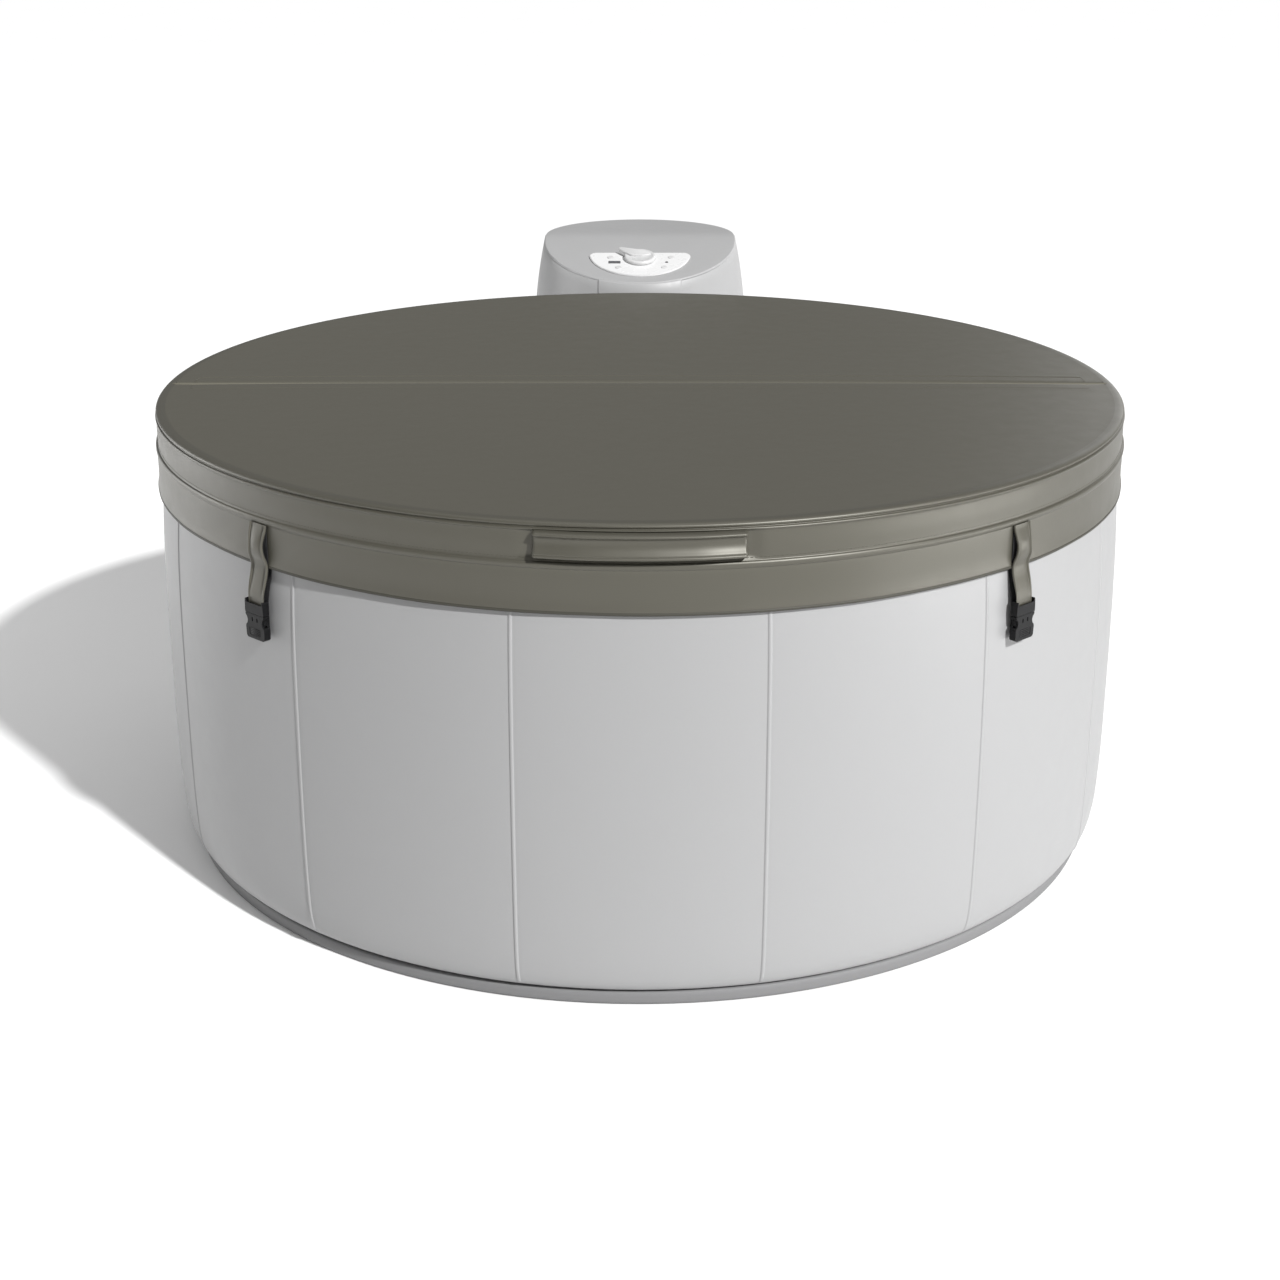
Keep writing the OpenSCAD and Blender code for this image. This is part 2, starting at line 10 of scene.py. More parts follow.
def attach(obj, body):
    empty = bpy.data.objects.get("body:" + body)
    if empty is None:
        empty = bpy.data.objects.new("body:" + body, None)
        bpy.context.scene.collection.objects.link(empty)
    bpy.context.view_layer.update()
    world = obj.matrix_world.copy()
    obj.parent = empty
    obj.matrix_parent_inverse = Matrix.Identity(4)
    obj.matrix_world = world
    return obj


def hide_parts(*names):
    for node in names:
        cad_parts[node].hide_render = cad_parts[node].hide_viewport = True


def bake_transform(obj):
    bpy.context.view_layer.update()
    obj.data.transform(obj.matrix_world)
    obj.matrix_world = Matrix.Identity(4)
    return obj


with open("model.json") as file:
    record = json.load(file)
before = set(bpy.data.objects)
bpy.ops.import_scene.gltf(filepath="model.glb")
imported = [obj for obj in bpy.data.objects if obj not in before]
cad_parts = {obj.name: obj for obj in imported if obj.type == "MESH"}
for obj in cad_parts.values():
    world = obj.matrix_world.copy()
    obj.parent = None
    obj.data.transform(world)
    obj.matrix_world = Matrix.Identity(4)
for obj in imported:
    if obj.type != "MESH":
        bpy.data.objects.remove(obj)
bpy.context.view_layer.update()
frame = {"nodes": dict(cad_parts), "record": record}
NODES = frame["nodes"]
sc = bpy.context.scene

# ---------------------------------------------------------------- camera
cam_data = bpy.data.cameras.new("camera")
cam = bpy.data.objects.new("camera", cam_data)
sc.collection.objects.link(cam)
cam.location = (0.0, -3.239, 1.467)
cam.rotation_euler = (math.radians(69.58), 0.0, 0.0)
cam_data.sensor_width = 36.0
cam_data.lens = 58.66
cam_data.clip_start, cam_data.clip_end = 0.05, 200.0
sc.camera = cam

# ---------------------------------------------------------------- sizes, metres
R = 0.750                 # cover radius
TOP = 0.695               # cover top
PITCH = 360.0 / 14
SEAM0 = -90.0 + PITCH / 2
STRAP_A = 43.0
TY = 1.045                # tower axis
FOLD_Y = TY + 0.008
CAP_Z = 0.757
SLOPE = math.radians(15.6)
PANEL_Y = TY - 0.084


def cap_h(y):
    return CAP_Z if y > FOLD_Y else CAP_Z - (FOLD_Y - y) * math.tan(SLOPE)


PANEL_Z = cap_h(PANEL_Y)
SLOPE_M = Matrix.Translation((0, PANEL_Y, PANEL_Z)) @ Matrix.Rotation(SLOPE, 4, "X")


# ---------------------------------------------------------------- mesh helpers
def new_obj(name, mesh):
    o = bpy.data.objects.new(name, mesh)
    sc.collection.objects.link(o)
    return o


def mesh_of(name, verts, faces, mat=None, smooth=True, angle=None):
    me = bpy.data.meshes.new(name)
    me.from_pydata([tuple(v) for v in verts], [], [tuple(f) for f in faces])
    me.validate()
    bm = bmesh.new()
    bm.from_mesh(me)
    bmesh.ops.remove_doubles(bm, verts=bm.verts, dist=1e-6)
    bmesh.ops.recalc_face_normals(bm, faces=bm.faces)
    bm.to_mesh(me)
    bm.free()
    o = new_obj(name, me)
    if mat:
        me.materials.append(mat)
    if smooth:
        me.polygons.foreach_set("use_smooth", [True] * len(me.polygons))
    if angle is not None:
        me.set_sharp_from_angle(angle=math.radians(angle))
    return o


def grid_faces(nu, nv, wrap_u=False, wrap_v=False, base=0):
    """Quads of a grid of nu by nv points, stored u-major."""
    out = []
    for i in range(nu if wrap_u else nu - 1):
        for j in range(nv if wrap_v else nv - 1):
            a, b = i, (i + 1) % nu
            c, d = j, (j + 1) % nv
            out.append((base + a * nv + c, base + b * nv + c, base + b * nv + d, base + a * nv + d))
    return out


def smooth_line(pts, per=6, closed=False):
    """Catmull-Rom through the points."""
    p = [np.array(q, float) for q in pts]
    n = len(p)
    out = []
    for i in range(n if closed else n - 1):
        p0 = p[(i - 1) % n] if closed or i > 0 else 2 * p[0] - p[1]
        p1, p2 = p[i], p[(i + 1) % n]
        p3 = p[(i + 2) % n] if closed or i + 2 < n else 2 * p[-1] - p[-2]
        for k in range(per):
            t = k / per
            out.append(0.5 * ((2 * p1) + (-p0 + p2) * t + (2 * p0 - 5 * p1 + 4 * p2 - p3) * t * t
                              + (-p0 + 3 * p1 - 3 * p2 + p3) * t ** 3))
    if not closed:
        out.append(p[-1])
    return np.array(out)


def revolve(name, prof, a0, a1, n, mat=None, closed=True, cap=True, radial=None, angle=None, centre=(0, 0)):
    """Turns a (radius, height) profile from angle a0 to a1, degrees. radial(angle, r, z) changes the radius."""
    full = abs((a1 - a0) - 360) < 1e-6
    angs = [math.radians(a0 + (a1 - a0) * i / n) for i in range(n if full else n + 1)]
    verts = []
    for a in angs:
        for r, z in prof:
            rr = radial(a, r, z) if radial else r
            verts.append((centre[0] + rr * math.cos(a), centre[1] + rr * math.sin(a), z))
    m = len(prof)
    faces = grid_faces(len(angs), m, wrap_u=full, wrap_v=closed)
    if closed and cap and not full:
        faces.append(tuple(range(m)))
        faces.append(tuple((len(angs) - 1) * m + j for j in reversed(range(m))))
    return mesh_of(name, verts, faces, mat, angle=angle)


def sweep(name, line, frames, section, mat=None, closed_section=True, caps=True, angle=None):
    """Places section points (u, v) along a line with frames (U, V) at each point."""
    verts = []
    m = None
    for k, (p, (U, V)) in enumerate(zip(line, frames)):
        sec = section(k) if callable(section) else section
        m = len(sec)
        for u, v in sec:
            verts.append(np.array(p) + u * np.array(U) + v * np.array(V))
    faces = grid_faces(len(line), m, wrap_v=closed_section)
    if caps and closed_section:
        faces.append(tuple(range(m)))
        faces.append(tuple((len(line) - 1) * m + j for j in reversed(range(m))))
    return mesh_of(name, verts, faces, mat, angle=angle)


def rounded(points, radius, seg=5):
    """A closed outline with its corners rounded. radius is one number or one for each corner."""
    out = []
    n = len(points)
    for i, p in enumerate(points):
        r = radius[i] if hasattr(radius, "__len__") else radius
        p = np.array(p, float)
        a = np.array(points[i - 1], float) - p
        b = np.array(points[(i + 1) % n], float) - p
        la, lb = np.linalg.norm(a), np.linalg.norm(b)
        if r <= 0:
            out.append(p)
            continue
        a, b = a / la, b / lb
        half = 0.5 * math.acos(max(-1, min(1, float(a @ b))))
        t = min(r / math.tan(half), 0.49 * la, 0.49 * lb)
        p0, p2 = p + a * t, p + b * t
        for k in range(seg + 1):
            s = k / seg
            out.append((1 - s) ** 2 * p0 + 2 * s * (1 - s) * p + s * s * p2)
    return out


def prism(name, outline, v0, v1, place, mat=None, bevel=0.0, seg=3, angle=35):
    """An outline in (u, w), extruded from v0 to v1. place(u, v, w) gives the point."""
    me = bpy.data.meshes.new(name)
    bm = bmesh.new()
    lo = [bm.verts.new(place(u, v0, w)) for u, w in outline]
    hi = [bm.verts.new(place(u, v1, w)) for u, w in outline]
    n = len(outline)
    bm.faces.new(lo)
    bm.faces.new(list(reversed(hi)))
    for i in range(n):
        bm.faces.new([lo[i], hi[i], hi[(i + 1) % n], lo[(i + 1) % n]])
    bmesh.ops.recalc_face_normals(bm, faces=bm.faces)
    bm.to_mesh(me)
    bm.free()
    o = new_obj(name, me)
    if mat:
        me.materials.append(mat)
    me.polygons.foreach_set("use_smooth", [True] * len(me.polygons))
    if bevel:
        add_bevel(o, bevel, seg, angle)
    return o


def add_bevel(o, width, seg=3, angle=35):
    b = o.modifiers.new("bevel", "BEVEL")
    b.width = width
    b.segments = seg
    b.limit_method = "ANGLE"
    b.angle_limit = math.radians(angle)
    b.harden_normals = True
    return b


def apply_modifiers(o):
    dg = bpy.context.evaluated_depsgraph_get()
    me = bpy.data.meshes.new_from_object(o.evaluated_get(dg))
    o.modifiers.clear()
    old = o.data
    o.data = me
    me.name = old.name
    return o


def cut(o, *cutters):
    """Boolean difference, applied."""
    for c in cutters:
        b = o.modifiers.new("cut", "BOOLEAN")
        b.operation = "DIFFERENCE"
        b.solver = "EXACT"
        b.object = c
        apply_modifiers(o)
        bpy.data.objects.remove(c)
    return o


def join(name, objs):
    """Joins meshes that already carry their materials."""
    bm = bmesh.new()
    mats = []
    for o in objs:
        o2 = apply_modifiers(o) if o.modifiers else o
        me = o2.data
        off = {}
        for i, m in enumerate(me.materials):
            if m not in mats:
                mats.append(m)
            off[i] = mats.index(m)
        tmp = bmesh.new()
        tmp.from_mesh(me)
        tmp.transform(o2.matrix_world)
        for f in tmp.faces:
            f.material_index = off.get(f.material_index, 0)
        t = bpy.data.meshes.new("t")
        tmp.to_mesh(t)
        tmp.free()
        bm.from_mesh(t)
        bpy.data.meshes.remove(t)
    me = bpy.data.meshes.new(name)
    bm.to_mesh(me)
    bm.free()
    for m in mats:
        me.materials.append(m)
    for o in objs:
        bpy.data.objects.remove(o)
    return new_obj(name, me)


def smoothstep(a, b, x):
    t = max(0.0, min(1.0, (x - a) / (b - a)))
    return t * t * (3 - 2 * t)


# ---------------------------------------------------------------- materials
class Mat:
    def __init__(self, name):
        self.m = bpy.data.materials.new(name)
        self.m.use_nodes = True
        self.t = self.m.node_tree
        self.b = self.t.nodes["Principled BSDF"]
        self.co = self.t.nodes.new("ShaderNodeTexCoord").outputs["Object"]

    def n(self, kind, **kw):
        x = self.t.nodes.new(kind)
        for k, v in kw.items():
            if k in x.inputs and not hasattr(x, k):
                x.inputs[k].default_value = v
            else:
                setattr(x, k, v)
        return x

    def link(self, a, b):
        self.t.links.new(a, b)

    def noise(self, scale, detail=3.0, rough=0.5, stretch=None, distortion=0.0):
        x = self.t.nodes.new("ShaderNodeTexNoise")
        x.inputs["Scale"].default_value = scale
        x.inputs["Detail"].default_value = detail
        x.inputs["Roughness"].default_value = rough
        x.inputs["Distortion"].default_value = distortion
        self.link(self.mapped(stretch), x.inputs["Vector"])
        return x.outputs["Fac"]

    def mapped(self, stretch):
        if not stretch:
            return self.co
        mp = self.t.nodes.new("ShaderNodeMapping")
        mp.inputs["Scale"].default_value = stretch
        self.link(self.co, mp.inputs["Vector"])
        return mp.outputs["Vector"]

    def voronoi(self, scale, feature="DISTANCE_TO_EDGE", stretch=None, randomness=1.0):
        x = self.t.nodes.new("ShaderNodeTexVoronoi")
        x.feature = feature
        x.inputs["Scale"].default_value = scale
        x.inputs["Randomness"].default_value = randomness
        self.link(self.mapped(stretch), x.inputs["Vector"])
        return x.outputs["Distance"]

    def ramp(self, fac, lo, hi, p0=0.3, p1=0.7):
        x = self.t.nodes.new("ShaderNodeValToRGB")
        e = x.color_ramp.elements
        e[0].position, e[1].position = p0, p1
        e[0].color, e[1].color = (*lo, 1), (*hi, 1)
        self.link(fac, x.inputs["Fac"])
        return x.outputs["Color"]

    def remap(self, fac, f0, f1, t0, t1):
        x = self.t.nodes.new("ShaderNodeMapRange")
        for k, v in (("From Min", f0), ("From Max", f1), ("To Min", t0), ("To Max", t1)):
            x.inputs[k].default_value = v
        self.link(fac, x.inputs["Value"])
        return x.outputs["Result"]

    def math(self, op, a, b):
        x = self.t.nodes.new("ShaderNodeMath")
        x.operation = op
        for i, v in enumerate((a, b)):
            if isinstance(v, (int, float)):
                x.inputs[i].default_value = v
            else:
                self.link(v, x.inputs[i])
        return x.outputs[0]

    def mix(self, fac, a, b, blend="MIX"):
        x = self.t.nodes.new("ShaderNodeMix")
        x.data_type = "RGBA"
        x.blend_type = blend
        for sock, v in ((x.inputs[0], fac), (x.inputs[6], a), (x.inputs[7], b)):
            if isinstance(v, (int, float)):
                sock.default_value = v
            elif isinstance(v, tuple):
                sock.default_value = (*v, 1)
            else:
                self.link(v, sock)
        return x.outputs[2]

    def bump(self, *layers):
        """layers are (height, strength, distance)."""
        prev = None
        for h, s, d in layers:
            x = self.t.nodes.new("ShaderNodeBump")
            x.inputs["Strength"].default_value = s
            x.inputs["Distance"].default_value = d
            self.link(h, x.inputs["Height"])
            if prev is not None:
                self.link(prev, x.inputs["Normal"])
            prev = x.outputs["Normal"]
        self.link(prev, self.b.inputs["Normal"])

    def pointy(self):
        g = self.t.nodes.new("ShaderNodeNewGeometry")
        return g.outputs["Pointiness"]


def plastic(name, col, rough=0.42, var=0.05, grain=900.0, bump=0.10, spec=0.5, wear=0.06):
    """Moulded plastic: fine spark texture, slight tone drift and paler edges."""
    k = Mat(name)
    lo = tuple(c * (1 - var) for c in col)
    hi = tuple(min(1, c * (1 + var)) for c in col)
    c = k.ramp(k.noise(5.0, 4.0, 0.55), lo, hi)
    edge = k.remap(k.pointy(), 0.52, 0.60, 0.0, wear)
    c = k.mix(edge, c, tuple(min(1, x * 1.5 + 0.04) for x in col))
    k.link(c, k.b.inputs["Base Color"])
    k.link(k.remap(k.noise(40.0, 5.0, 0.6), 0.3, 0.7, rough - 0.05, rough + 0.07), k.b.inputs["Roughness"])
    k.b.inputs["Specular IOR Level"].default_value = spec
    k.bump((k.noise(grain, 2.0, 0.5), bump, 0.0002), (k.noise(9.0, 2.0, 0.5), 0.05, 0.002))
    return k.m


def vinyl(name, col, rough=0.5, var=0.07, grain=520.0, bump=0.22, wear=0.10, big=0.04, spec=0.42, coat=0.0):
    """Leather-grain vinyl: pebbled cells, soft waviness, tone drift and rubbed edges."""
    k = Mat(name)
    lo = tuple(c * (1 - var) for c in col)
    hi = tuple(min(1, c * (1 + var)) for c in col)
    base = k.ramp(k.noise(0.9, 2.0, 0.4), lo, hi, 0.2, 0.8)
    fine = k.noise(260.0, 3.0, 0.6)
    base = k.mix(k.remap(fine, 0.35, 0.65, 0.0, 0.06), base, tuple(c * 0.85 for c in col))
    edge = k.remap(k.pointy(), 0.515, 0.57, 0.0, wear)
    base = k.mix(edge, base, tuple(min(1, c * 1.45 + 0.02) for c in col))
    k.link(base, k.b.inputs["Base Color"])
    k.link(k.remap(k.noise(30.0, 4.0, 0.6), 0.3, 0.7, rough - 0.02, rough + 0.03), k.b.inputs["Roughness"])
    k.b.inputs["Specular IOR Level"].default_value = spec
    k.b.inputs["Coat Weight"].default_value = coat
    k.b.inputs["Coat Roughness"].default_value = 0.42
    cells = k.voronoi(grain)
    k.bump((cells, bump, 0.00035), (k.noise(grain * 1.9, 2.0, 0.5), bump * 0.4, 0.0002),
           (k.noise(3.0, 1.5, 0.4), big, 0.01))
    return k.m


def metal(name, col, rough=0.35, brushed=None):
    k = Mat(name)
    k.b.inputs["Metallic"].default_value = 1.0
    st = brushed or (1, 1, 1)
    c = k.ramp(k.noise(60.0, 4.0, 0.6, stretch=st), tuple(x * 0.85 for x in col), tuple(min(1, x * 1.1) for x in col))
    k.link(c, k.b.inputs["Base Color"])
    k.link(k.remap(k.noise(90.0, 4.0, 0.6, stretch=st), 0.3, 0.7, rough - 0.08, rough + 0.10), k.b.inputs["Roughness"])
    k.bump((k.noise(300.0, 3.0, 0.5, stretch=st), 0.12, 0.0003))
    return k.m


def weave(name, col, pitch=0.0011, rough=0.8):
    """Woven webbing: crossing ribs at the yarn's own pitch."""
    k = Mat(name)
    sep = k.t.nodes.new("ShaderNodeSeparateXYZ")
    k.link(k.co, sep.inputs[0])
    w = 2 * math.pi / pitch
    arc = k.math("ADD", sep.outputs["X"], sep.outputs["Y"])
    a = k.math("SINE", k.math("MULTIPLY", arc, w * 0.72), 0.0)
    b = k.math("SINE", k.math("MULTIPLY", sep.outputs["Z"], w * 0.8), 0.0)
    h = k.math("MULTIPLY", a, b)
    c = k.ramp(k.remap(h, -1, 1, 0, 1), tuple(x * 0.55 for x in col), tuple(min(1, x * 1.35 + 0.01) for x in col))
    k.link(c, k.b.inputs["Base Color"])
    k.link(k.remap(k.noise(90.0), 0.3, 0.7, rough - 0.08, rough + 0.08), k.b.inputs["Roughness"])
    k.b.inputs["Specular IOR Level"].default_value = 0.25
    k.bump((h, 0.5, 0.0004), (k.noise(900.0), 0.2, 0.0002))
    return k.m


COVER = (0.075, 0.071, 0.055)
M_cover = vinyl("cover_vinyl", COVER, rough=0.46, var=0.02, grain=620.0, bump=0.12, wear=0.04, big=0.01, spec=0.55)
# The band, skirt, handle and straps use the cover vinyl at 0.72 of its colour: painted shade on the vertical faces.
M_band_shaded = vinyl("cover_band_vinyl_shaded", tuple(c * 0.72 for c in COVER), rough=0.44, var=0.02, grain=620.0, bump=0.08, wear=0.12, big=0.01, spec=0.8, coat=0.12)
M_band_shaded.node_tree.nodes["Principled BSDF"].inputs["Specular Tint"].default_value = (1.0, 0.975, 0.88, 1.0)
M_hem = vinyl("hem_binding", tuple(c * 0.55 for c in COVER), rough=0.55, grain=500.0, bump=0.2, wear=0.03)
# The fold strip's vinyl is the cover vinyl at 1.55 of its colour: a painted highlight along the fold.
M_fold_highlight = vinyl("fold_vinyl", tuple(c * 1.55 for c in COVER), rough=0.45, grain=560.0, bump=0.12, wear=0.1)
M_under = vinyl("cover_lining", (0.30, 0.30, 0.295), rough=0.6, grain=420.0, bump=0.15)
M_thread = weave("seam_thread", tuple(c * 1.15 for c in COVER), pitch=0.0006, rough=0.7)
M_jacket = vinyl("jacket_vinyl", (0.295, 0.295, 0.297), rough=0.46, var=0.01, grain=700.0, bump=0.07, wear=0.12, big=0.01, spec=0.5)
M_mat = vinyl("base_mat_rubber", (0.165, 0.165, 0.167), rough=0.62, var=0.03, grain=300.0, bump=0.2, wear=0.06)
M_liner = vinyl("liner_vinyl", (0.46, 0.53, 0.57), rough=0.38, var=0.03, grain=420.0, bump=0.10)
M_web = weave("web_black", (0.012, 0.012, 0.013), pitch=0.0013)
M_buckle = plastic("buckle_plastic", (0.006, 0.006, 0.0065), rough=0.34, var=0.10, grain=1400.0, bump=0.05, spec=0.18, wear=0.02)
M_tower = plastic("tower_plastic", (0.33, 0.33, 0.332), rough=0.46, var=0.015, grain=1100.0, bump=0.10, wear=0.12)
M_cap = plastic("cap_plastic", (0.33, 0.33, 0.332), rough=0.50, var=0.02, grain=1100.0, bump=0.12, wear=0.12)
M_panel = plastic("panel_plastic", (0.66, 0.66, 0.66), rough=0.28, var=0.01, grain=900.0, bump=0.03, wear=0.0)
M_rim = plastic("panel_rim_plastic", (0.58, 0.58, 0.585), rough=0.35, var=0.01, grain=900.0, bump=0.04, wear=0.1)
M_knob = plastic("control_plastic", (0.52, 0.52, 0.52), rough=0.30, var=0.01, grain=900.0, bump=0.04, wear=0.15)
M_dark = plastic("grey_plastic", (0.10, 0.10, 0.103), rough=0.5, grain=900.0, bump=0.15)
M_white = plastic("white_plastic", (0.74, 0.74, 0.735), rough=0.35, var=0.02, grain=900.0, bump=0.06)
M_black = plastic("black_plastic", (0.018, 0.018, 0.018), rough=0.5, grain=800.0, bump=0.15)
M_window = plastic("window_plastic", (0.09, 0.09, 0.095), rough=0.2, var=0.1, grain=900.0, bump=0.01, spec=0.6, wear=0.0)
M_board = plastic("circuit_board", (0.03, 0.13, 0.06), rough=0.4, var=0.15, grain=700.0, bump=0.1)
M_steel = metal("steel", (0.55, 0.55, 0.56), 0.32, (1, 0.05, 1))
M_motor = metal("motor_metal", (0.30, 0.31, 0.33), 0.5)
M_foam = vinyl("cover_foam", (0.80, 0.80, 0.77), rough=0.9, var=0.03, grain=260.0, bump=0.5, wear=0.0)
M_bladder = vinyl("bladder_vinyl", (0.55, 0.55, 0.57), rough=0.5, var=0.02, grain=500.0, bump=0.1)
M_webfab = weave("web_fabric", (0.55, 0.55, 0.55), pitch=0.0022)
M_filter = weave("filter_paper", (0.75, 0.77, 0.80), pitch=0.0012)

SLOT_MAT = {
    "base_mat": M_mat, "bladder_vinyl": M_bladder, "web_fabric": M_webfab, "jacket_vinyl": M_jacket,
    "liner_vinyl": M_liner, "white_plastic": M_white, "filter_paper": M_filter, "grey_plastic": M_dark,
    "tower_plastic": M_tower, "cap_plastic": M_cap, "panel_plastic": M_panel, "control_plastic": M_knob,
    "window_plastic": M_window, "circuit_board": M_board, "motor_metal": M_motor, "steel": M_steel,
    "black_plastic": M_black, "cover_foam": M_foam, "cover_vinyl": M_cover, "fold_vinyl": M_fold_highlight,
    "buckle_plastic": M_buckle,
}
for sp in frame["record"]["subparts"]:
    o = NODES[sp["node"]]
    o.data.materials.clear()
    o.data.materials.append(SLOT_MAT[sp["material_slot"]])
    o.data.polygons.foreach_set("material_index", [0] * len(o.data.polygons))


# ---------------------------------------------------------------- cover halves
# Rim profile, (radius, height) in millimetres, from the top face down to the bead
RIM = [(736, 695.2), (741, 695.1), (745.2, 694.7), (748.0, 693.8), (749.8, 692.4), (750.6, 690.9), (750.3, 689.3),
       (749.2, 688.2), (748.6, 687.5), (749.0, 686.8), (750.6, 686.2), (751.5, 685.1), (751.5, 683.9), (750.7, 682.8),
       (750.2, 681.8), (750.2, 678), (750.6, 670), (750.8, 662), (750.6, 654), (750.5, 648), (750.6, 644.8), (751.0, 643.0),
       (751.9, 642.6), (753.0, 641.8), (753.8, 640.3), (754.1, 638.6), (753.9, 636.6), (753.3, 634.9), (752.6, 633.6), (751.8, 633.0)]
UNDER = [(750.6, 634.4), (748.6, 639.5), (746, 644.4), (742, 646.8), (735, 647.2)]
GAP = 0.0016


def half_y(front, y):
    return y if front else -y


def cover_half(front):
    tag = "front" if front else "rear"
    sgn = -1.0 if front else 1.0
    rng = (180.0, 360.0) if front else (0.0, 180.0)
    body = "cover_" + tag

    # Top face: columns across, rows from the fold to the rim
    def top_z(x, y):
        d = abs(y) - GAP                              # distance from the fold
        r = math.hypot(x, y)
        z = TOP + 0.0002
        z += 0.0030 * (1 - (r / 0.74) ** 4)           # slight crown of the foam board
        z += 0.0002 * math.sin(5.1 * x + 1.3) * math.sin(6.3 * y + 0.4)
        z -= 0.0048 * math.exp(-(max(d, 0) / 0.0042) ** 1.3)   # rolled edge at the fold
        # stitched channel that runs beside the fold
        z -= 0.0009 * math.exp(-((d - 0.036) / 0.0016) ** 2)
        z += 0.0004 * math.exp(-((d - 0.041) / 0.0040) ** 2)
        return z

    r_in = RIM[0][0] / 1000.0
    dz_rim = 0.0
    nx = 160
    rows = [0, .0008, .0016, .0026, .004, .006, .0085, .012, .017, .022, .027, .031, .0332, .0345, .0353, .036, .0367, .0375, .0388,
            .041, .0445, .049, .056, .066, .085, .125, .175, .235, .30, .37, .44, .51, .58, .64, .685, .715, .729, r_in - GAP]
    rows = np.array(rows) / (r_in - GAP)
    verts, faces = [], []
    for i in range(nx + 1):
        t = math.pi * (i / nx - 0.5)
        x = r_in * math.sin(t)
        deep = math.sqrt(max(r_in * r_in - x * x, 0.0)) - GAP
        deep = max(deep, 0.0)
        for s in rows:
            # rows keep their distance from the fold while the column is long enough
            d = s * deep if deep < 0.2 else (s * (r_in - GAP) if s * (r_in - GAP) < 0.07 else
                                             0.07 + (s * (r_in - GAP) - 0.07) * (deep - 0.07) / (r_in - GAP - 0.07))
            y = sgn * (GAP + d)
            z = top_z(x, y)
            r = math.hypot(x, y)
            edge = min(1.0, max(0.0, (r_in - r) / 0.03))
            z = z * edge + (TOP + 0.0002) * (1 - edge) if d > 0.006 else z
            verts.append((x, y, z))
    m = len(rows)
    faces += grid_faces(nx + 1, m)
    top = mesh_of("t", verts, faces, M_cover)

    # Rim band and bead, underside and the flat side at the fold
    prof = [(r / 1000, z / 1000) for r, z in RIM]
    fine = list(smooth_line(prof, 2))

    def dimple(a, r, z):
        """The band is drawn in where the handle's ends are sewn down."""
        if not front or z > 0.688 or z < 0.643:
            return r
        off = abs(math.degrees(a) - 270)
        e = 1 - smoothstep(10.5, 12.4, off)
        m_ = smoothstep(0.6435, 0.650, z) * (1 - smoothstep(0.680, 0.6865, z))
        return r - 0.0030 * e * m_
    band = revolve("b", fine, rng[0], rng[1], 400, M_band_shaded, closed=False, radial=dimple)
    under = [(0.7518, 0.6330)] + [(r / 1000, z / 1000) for r, z in UNDER] + [(0.02, 0.6472), (0.0, 0.6472)]
    below = revolve("u", under, rng[0], rng[1], 160, M_under, closed=False)
    # side wall at the fold, from the underside up to a fixed height just under the top's edge
    ws = []
    nside = 120
    for i in range(nside + 1):
        x = -0.7485 + 1.4970 * i / nside
        zt = TOP - 0.0046
        for k in range(9):
            v = k / 8
            z = 0.6472 + (zt - 0.6472) * v
            bulge = 0.0
            ws.append((x, sgn * (GAP - 0.0004 + bulge), z))
    side = mesh_of("s", ws, grid_faces(nside + 1, 9), M_under)
    o = join("cover_%s_pad" % tag, [top, band, below, side])
    bm = bmesh.new()
    bm.from_mesh(o.data)
    bmesh.ops.remove_doubles(bm, verts=bm.verts, dist=2e-5)
    bmesh.ops.recalc_face_normals(bm, faces=bm.faces)
    bm.to_mesh(o.data)
    bm.free()
    o.data.polygons.foreach_set("use_smooth", [True] * len(o.data.polygons))
    o.data.set_sharp_from_angle(angle=math.radians(55))
    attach(o, body)
    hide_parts("cover_%s_skin" % tag, "cover_%s_piping" % tag, "cover_%s_foam" % tag)

    # Skirt: a hanging band of vinyl with a bound hem
    outer = [(752.2, 634.2), (752.4, 628), (752.6, 620), (752.7, 610), (752.8, 600), (753.1, 591), (753.8, 584), (754.5, 579.5),
             (754.7, 577), (754.0, 575.7)]
    inner = [(752.7, 575.7), (753.0, 579), (752.3, 584), (751.7, 592), (751.4, 602), (751.2, 614), (751.1, 626), (750.9, 634.2)]
    pr = [(a / 1000, b / 1000) for a, b in outer + inner]

    def ripple(a, r, z):
        low = max(0.0, min(1.0, (0.634 - z) / 0.06))
        w = 0.0005 * low * (math.sin(a * 9 + 0.7) + 0.6 * math.sin(a * 17 + 2.1) + 0.4 * math.sin(a * 31))
        return r + w
    sk = revolve("cover_%s_skirt_sheet" % tag, pr, rng[0] + 0.12, rng[1] - 0.12, 260, M_band_shaded, radial=ripple, angle=50)
    hem_p = [(754.5, 578.0), (755.2, 577.0), (755.4, 575.3), (754.8, 573.8), (753.5, 573.1), (752.2, 573.5), (751.6, 575.0),
             (751.8, 576.8), (752.5, 577.8), (753.5, 577.4)]
    hem = revolve("cover_%s_hem" % tag, [(a / 1000, b / 1000) for a, b in hem_p], rng[0] + 0.12, rng[1] - 0.12, 260,
                  M_hem, radial=ripple)
    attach(sk, body)
    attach(hem, body)
    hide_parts("cover_%s_skirt" % tag)

    # Stitches: short threads along the band, above the bead
    st = []
    step = 0.0058
    n = int(math.pi * R / step)
    vs, fs = [], []

